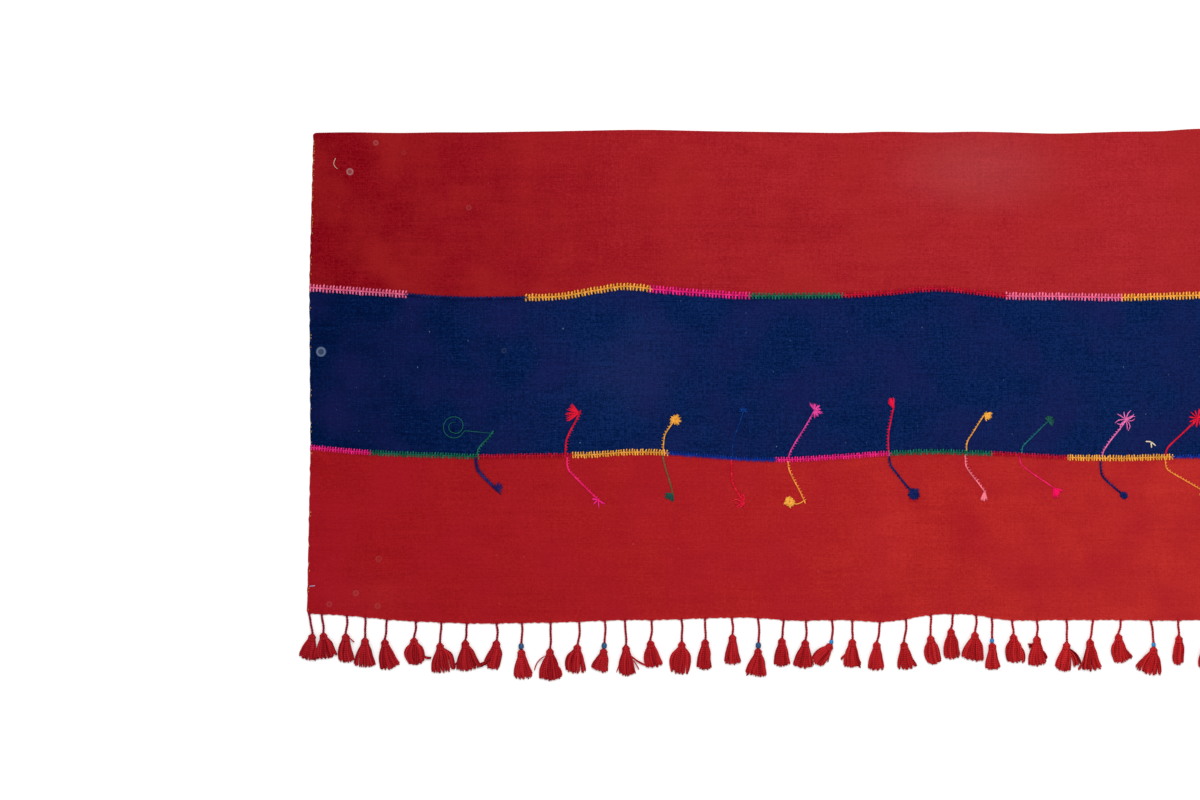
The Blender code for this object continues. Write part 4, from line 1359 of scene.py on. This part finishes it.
class RUNNER_OT_stitch_joins(bpy.types.Operator):
    """Works the many-coloured needlework over the two joins"""

    bl_idname = "runner.stitch_joins"
    bl_label = "Stitch the joins"

    def execute(self, context):
        work = context.scene.runner_needlework
        tree = bpy.data.node_groups["Needlework"]
        for line, runs in (("upper_join", UPPER_RUNS), ("lower_join", LOWER_RUNS)):
            upper = line == "upper_join"
            thickness = work.yarn if upper else work.lower_yarn
            for number, (run, onward) in enumerate(zip(runs, runs[1:])):
                count = round((onward.x - run.x) / 4)
                x = np.linspace(run.x, onward.x, count) * MM
                y = line_y(line, x)
                name = f"{line}_{number + 1:02d}_{run.yarn}"
                values = {
                    "Pitch": work.pitch if upper else work.lower_pitch,
                    "Left reach": work.upper_reach * run.reach,
                    "Right reach": work.lower_reach * run.reach,
                    "Yarn thickness": thickness,
                    "Chain thickness": thickness * CHAIN_SHARE,
                    "Unevenness": 0.16 if upper else 0.24,
                    "Seed": number,
                    "Yarn": yarn_of(run.yarn),
                }
                piece = grow(name, paths_mesh(name, [on_cloth(x, y)]), tree, values)
                declare(piece, "join_yarn", line)
        return {"FINISHED"}


class RUNNER_OT_embroider_sprigs(bpy.types.Operator):
    """Embroiders a row of sprigs across the lower join"""

    bl_idname = "runner.embroider_sprigs"
    bl_label = "Embroider the sprigs"

    def execute(self, context):
        work = context.scene.runner_needlework
        needlework = bpy.data.node_groups["Needlework"]
        laid = bpy.data.node_groups["Laid yarn"]
        for number, spray in enumerate(SPRAYS):
            x, y = stem_points(spray)
            side = "up" if spray.rise > 0 else "down"
            name = f"sprig_{number + 1:02d}_{side}"
            values = {
                "Pitch": STEM_PITCH * MM,
                "Left reach": max(spray.tick, 0.4) * MM,
                "Right reach": max(-spray.tick, 0.4) * MM,
                "Yarn thickness": work.stem_yarn * spray.weight * 0.9,
                "Chain thickness": work.stem_yarn * spray.weight * 0.95,
                "Unevenness": 0.3,
                "Seed": number,
                "Yarn": yarn_of(spray.yarn),
            }
            stem = paths_mesh(name, [on_cloth(x, y, STEM_LIFT * MM)])
            declare(grow(name, stem, needlework, values), "join_yarn")
            threads = []
            if spray.hook:
                hook_x, hook_y = hook_points(x[-1], y[-1], spray.hook)
                threads.append(on_cloth(hook_x, hook_y, THREAD_LIFT * MM))
                x, y = hook_x, hook_y
            if spray.coil:
                coil_x, coil_y = coil_points(x[-1], y[-1], spray.coil)
                threads.append(on_cloth(coil_x, coil_y, THREAD_LIFT * MM))
            threads += bloom_paths(x[-1], y[-1], spray, number)
            values = {
                "Yarn thickness": work.stem_yarn * (0.7 if spray.coil else 1.4),
                "Sides": 5,
                "Seed": number,
                "Yarn": yarn_of(spray.bloom_yarn or spray.yarn),
            }
            if threads:
                bloom = grow(name + "_bloom", paths_mesh(name, threads), laid, values)
                declare(bloom, "join_yarn")
        return {"FINISHED"}


class RUNNER_OT_sew_details(bpy.types.Operator):
    """Sews the end hems' small stitches and lays the stray threads"""

    bl_idname = "runner.sew_details"
    bl_label = "Sew the details"

    def execute(self, context):
        laid = bpy.data.node_groups["Laid yarn"]
        chance = np.random.default_rng(5)
        hem = []
        for y_mm in np.arange(-350, 455, 5.2):
            if chance.random() < (0.35 if y_mm > 190 else 0.8):
                continue
            y = (y_mm + chance.uniform(-1.2, 1.2)) * MM
            lean = np.interp(y / MM, [-365, -86, 188, 464], list(LEFT_END.values())[::-1])
            x = -LENGTH / 2 + (lean + chance.uniform(1.0, 2.4)) * MM
            r = np.linspace(0, chance.uniform(1.6, 3.4), 4) * MM
            hem.append(on_cloth(x + r * 0.25, y + r * 0.9, 0.25 * MM))
        t = np.linspace(0, 1, 7)
        curl_x = -1.0560 - 0.004 * np.sin(2.4 * t) + 0.006 * t**4
        barbs = [
            on_cloth(0.3292 - 0.0092 * t, -0.0630 + 0.0006 * t, 0.8 * MM),
            on_cloth(0.3296 + 0.0075 * t, -0.0634 - 0.0062 * t, 0.8 * MM),
            on_cloth(0.3292 + 0.0010 * t, -0.0640 - 0.0090 * t, 0.8 * MM),
        ]
        threads = (
            ("hem_stitches", "ochre", 0.0012, hem),
            ("mending_thread", "sky", 0.0012, [on_cloth(-1.101 + 0.010 * t, -0.3085 + 0.001 * t, 0.3 * MM)]),
            ("stray_thread", "cream", 0.0009, [on_cloth(curl_x, 0.4195 - 0.019 * t, 0.5 * MM)]),
            ("stitched_mark", "cream", 0.0023, barbs),
        )
        for name, yarn, thickness, paths in threads:
            values = {"Yarn thickness": thickness, "Sides": 5, "Seed": 3, "Yarn": yarn_of(yarn)}
            declare(grow(name, paths_mesh(name, paths), laid, values), "join_yarn")
        return {"FINISHED"}


class RUNNER_OT_hang_tassels(bpy.types.Operator):
    """Hangs the tassels on the hem and threads their beads"""

    bl_idname = "runner.hang_tassels"
    bl_label = "Hang the tassels"

    def execute(self, context):
        making = context.scene.runner_tassel
        tree = bpy.data.node_groups["Tassel"]
        laid = bpy.data.node_groups["Laid yarn"]
        skirt_yarn = spun_yarn("two-ply tassel wool", making.skirt_left, 0.0036, 0.95, making.skirt_right)
        cord_yarn = spun_yarn("two-ply cord wool", making.cord_left, 0.0030, 0.35, making.cord_right)
        glass = {
            "navy": bead_glass("pressed glass, navy", making.navy_glass),
            "sky": bead_glass("pressed glass, sky blue", making.sky_glass),
        }
        for number, row in enumerate(all_tassels(), 1):
            name = f"tassel_{number:02d}"
            root_x = row.root * MM
            root = Vector((root_x, float(line_y("hem", root_x)) + 1.5 * MM, 0))
            head_top = Vector((root_x + row.run * MM, root.y - (row.cord + 1.5) * MM, 0))
            hang = Vector((row.lean * MM, -row.drop * MM, 0))
            side = Vector((-hang.y, hang.x, 0)).normalized()
            bend = Vector((row.cord * MM * 0.03, 0, 0))
            cord = []
            for t in np.linspace(0, 1, 12):
                spot = root.lerp(head_top, t) + bend * math.sin(math.pi * t)
                spot.x += CORD_WANDER * MM * math.sin(5 * t + 2 * number) * math.sin(math.pi * t)
                spot.z = making.cord / 2 + 0.0004 + 0.0014 * t
                cord.append(spot)
            axis = [
                head_top + hang * t + side * (row.flop * MM * t * t) + Vector((0, 0, 0.0001))
                for t in np.linspace(0, 1, 11)
            ]
            cord.append(axis[0] + Vector((0, 0, making.cord / 2 + 0.001)) + hang * 0.06)
            mesh = paths_mesh(name, [cord, axis])
            marks = mesh.attributes.new("skirt", "BOOLEAN", "POINT")
            marks.data.foreach_set("value", [False] * len(cord) + [True] * len(axis))
            values = {
                "Strands": making.strands,
                "Strand thickness": making.strand,
                "Cord thickness": making.cord,
                "Cord twist": making.ply,
                "Half spread": row.spread * MM / 2,
                "Tips": row.tips,
                "Lobe": row.lobe,
                "Clumps": 4 + number % 3,
                "Seed": number * 10,
                "Skirt yarn": skirt_yarn,
                "Cord yarn": cord_yarn,
            }
            declare(grow(name + "_yarn", mesh, tree, values), "tassel_yarn", name)
            strays = []
            for stray in STRAYS:
                if stray.tassel == number:
                    strays += stray_paths(stray, head_top)
            if strays:
                finer = making.strand * 0.8
                values = {"Yarn thickness": finer, "Sides": 5, "Seed": number, "Yarn": skirt_yarn}
                loose = grow(name + "_strays", paths_mesh(name + "_strays", strays), laid, values)
                declare(loose, "tassel_yarn", name)
            if row.bead:
                across = making.navy_bead if row.bead == "navy" else making.sky_bead
                along = (head_top - root).normalized()
                middle = head_top - along * (across * 0.62)
                middle.z = across / 2 + 0.0004
                mesh = bead_mesh(name + "_bead", middle, along, across, making.cord * 0.42)
                bead = put(name + "_bead", mesh)
                bead.data.materials.append(glass[row.bead])
                declare(bead, f"{row.bead}_bead", name)
        return {"FINISHED"}


class RUNNER_OT_lay_stage(bpy.types.Operator):
    """Lays the studio floor, its light and the camera"""

    bl_idname = "runner.lay_stage"
    bl_label = "Lay the stage"

    def execute(self, context):
        scene = context.scene
        stage = scene.runner_stage
        mesh = bpy.data.meshes.new("floor")
        mesh.from_pydata([(-4, -4, 0), (4, -4, 0), (4, 4, 0), (-4, 4, 0)], [], [(0, 1, 2, 3)])
        colour = (*stage.floor_colour, 1)
        glow = stage.floor_glow
        made = new_material("matt studio paper", 1, specular=0, colour=colour, glow_colour=colour, glow=glow)
        mesh.materials.append(made[0])
        floor = put("floor", mesh)
        floor.location.z = -0.0004

        world = bpy.data.worlds.new("soft studio")
        world.use_nodes = True
        world.node_tree.nodes["Background"].inputs["Color"].default_value = (1, 1, 1, 1)
        world.node_tree.nodes["Background"].inputs["Strength"].default_value = stage.world_strength
        scene.world = world
        lamp = bpy.data.lights.new("soft box", "AREA")
        lamp.shape = "DISK"
        lamp.size = 1.8
        lamp.energy = stage.key_strength
        light = bpy.data.objects.new("soft box", lamp)
        light.location = (-0.2, 2.2, 3.4)
        aim = Vector((-0.2, 0.1, 0)) - light.location
        light.rotation_euler = aim.to_track_quat("-Z", "Y").to_euler()
        scene.collection.objects.link(light)

        lens = bpy.data.cameras.new("overhead camera")
        lens.sensor_width = 36
        lens.lens = lens.sensor_width * VIEW_HEIGHT / VIEW_WIDTH
        camera = bpy.data.objects.new("overhead camera", lens)
        camera.location = (*VIEW_MIDDLE, VIEW_HEIGHT)
        scene.collection.objects.link(camera)
        scene.camera = camera
        scene.view_settings.view_transform = "Standard"
        return {"FINISHED"}


STEPS = (
    RUNNER_OT_weave_cloths,
    RUNNER_OT_stitch_joins,
    RUNNER_OT_embroider_sprigs,
    RUNNER_OT_sew_details,
    RUNNER_OT_hang_tassels,
    RUNNER_OT_lay_stage,
)


class RUNNER_PT_steps(bpy.types.Panel):
    """Lists the runner's settings and steps"""

    bl_idname = "RUNNER_PT_steps"
    bl_label = "Tasselled runner"
    bl_space_type = "VIEW_3D"
    bl_region_type = "UI"
    bl_category = "Runner"

    def draw(self, context):
        for step in STEPS:
            self.layout.operator(step.bl_idname)
        for name in SETTINGS:
            box = self.layout.box()
            group = getattr(context.scene, name)
            for prop in group.bl_rna.properties:
                if prop.identifier not in ("rna_type", "name"):
                    box.prop(group, prop.identifier)


SETTINGS = {
    "runner_cloth": ClothSettings,
    "runner_needlework": NeedleworkSettings,
    "runner_tassel": TasselSettings,
    "runner_stage": StageSettings,
}


def yarn_of(colour):
    """The needlework yarn of one colour, made when first asked for."""
    name = f"two-ply wool yarn, {colour}"
    dye = getattr(bpy.context.scene.runner_needlework, colour)
    brighter = [min(channel * RIGHT_END_GAIN, 1) for channel in dye]
    return bpy.data.materials.get(name) or spun_yarn(name, dye, far_colour=brighter)


def register():
    for name, group in SETTINGS.items():
        bpy.utils.register_class(group)
        setattr(bpy.types.Scene, name, PointerProperty(type=group))
    for made in (*STEPS, RUNNER_PT_steps):
        bpy.utils.register_class(made)


def unregister():
    for made in (RUNNER_PT_steps, *reversed(STEPS)):
        bpy.utils.unregister_class(made)
    for name, group in SETTINGS.items():
        delattr(bpy.types.Scene, name)
        bpy.utils.unregister_class(group)


def main():
    register()
    yarn = yarn_tree()
    laid_tree(yarn)
    needlework_tree(yarn, teeth_tree())
    tassel_tree(yarn)
    bpy.ops.runner.weave_cloths()
    bpy.ops.runner.stitch_joins()
    bpy.ops.runner.embroider_sprigs()
    bpy.ops.runner.sew_details()
    bpy.ops.runner.hang_tassels()
    bpy.ops.runner.lay_stage()


if __name__ == "__main__":
    main()
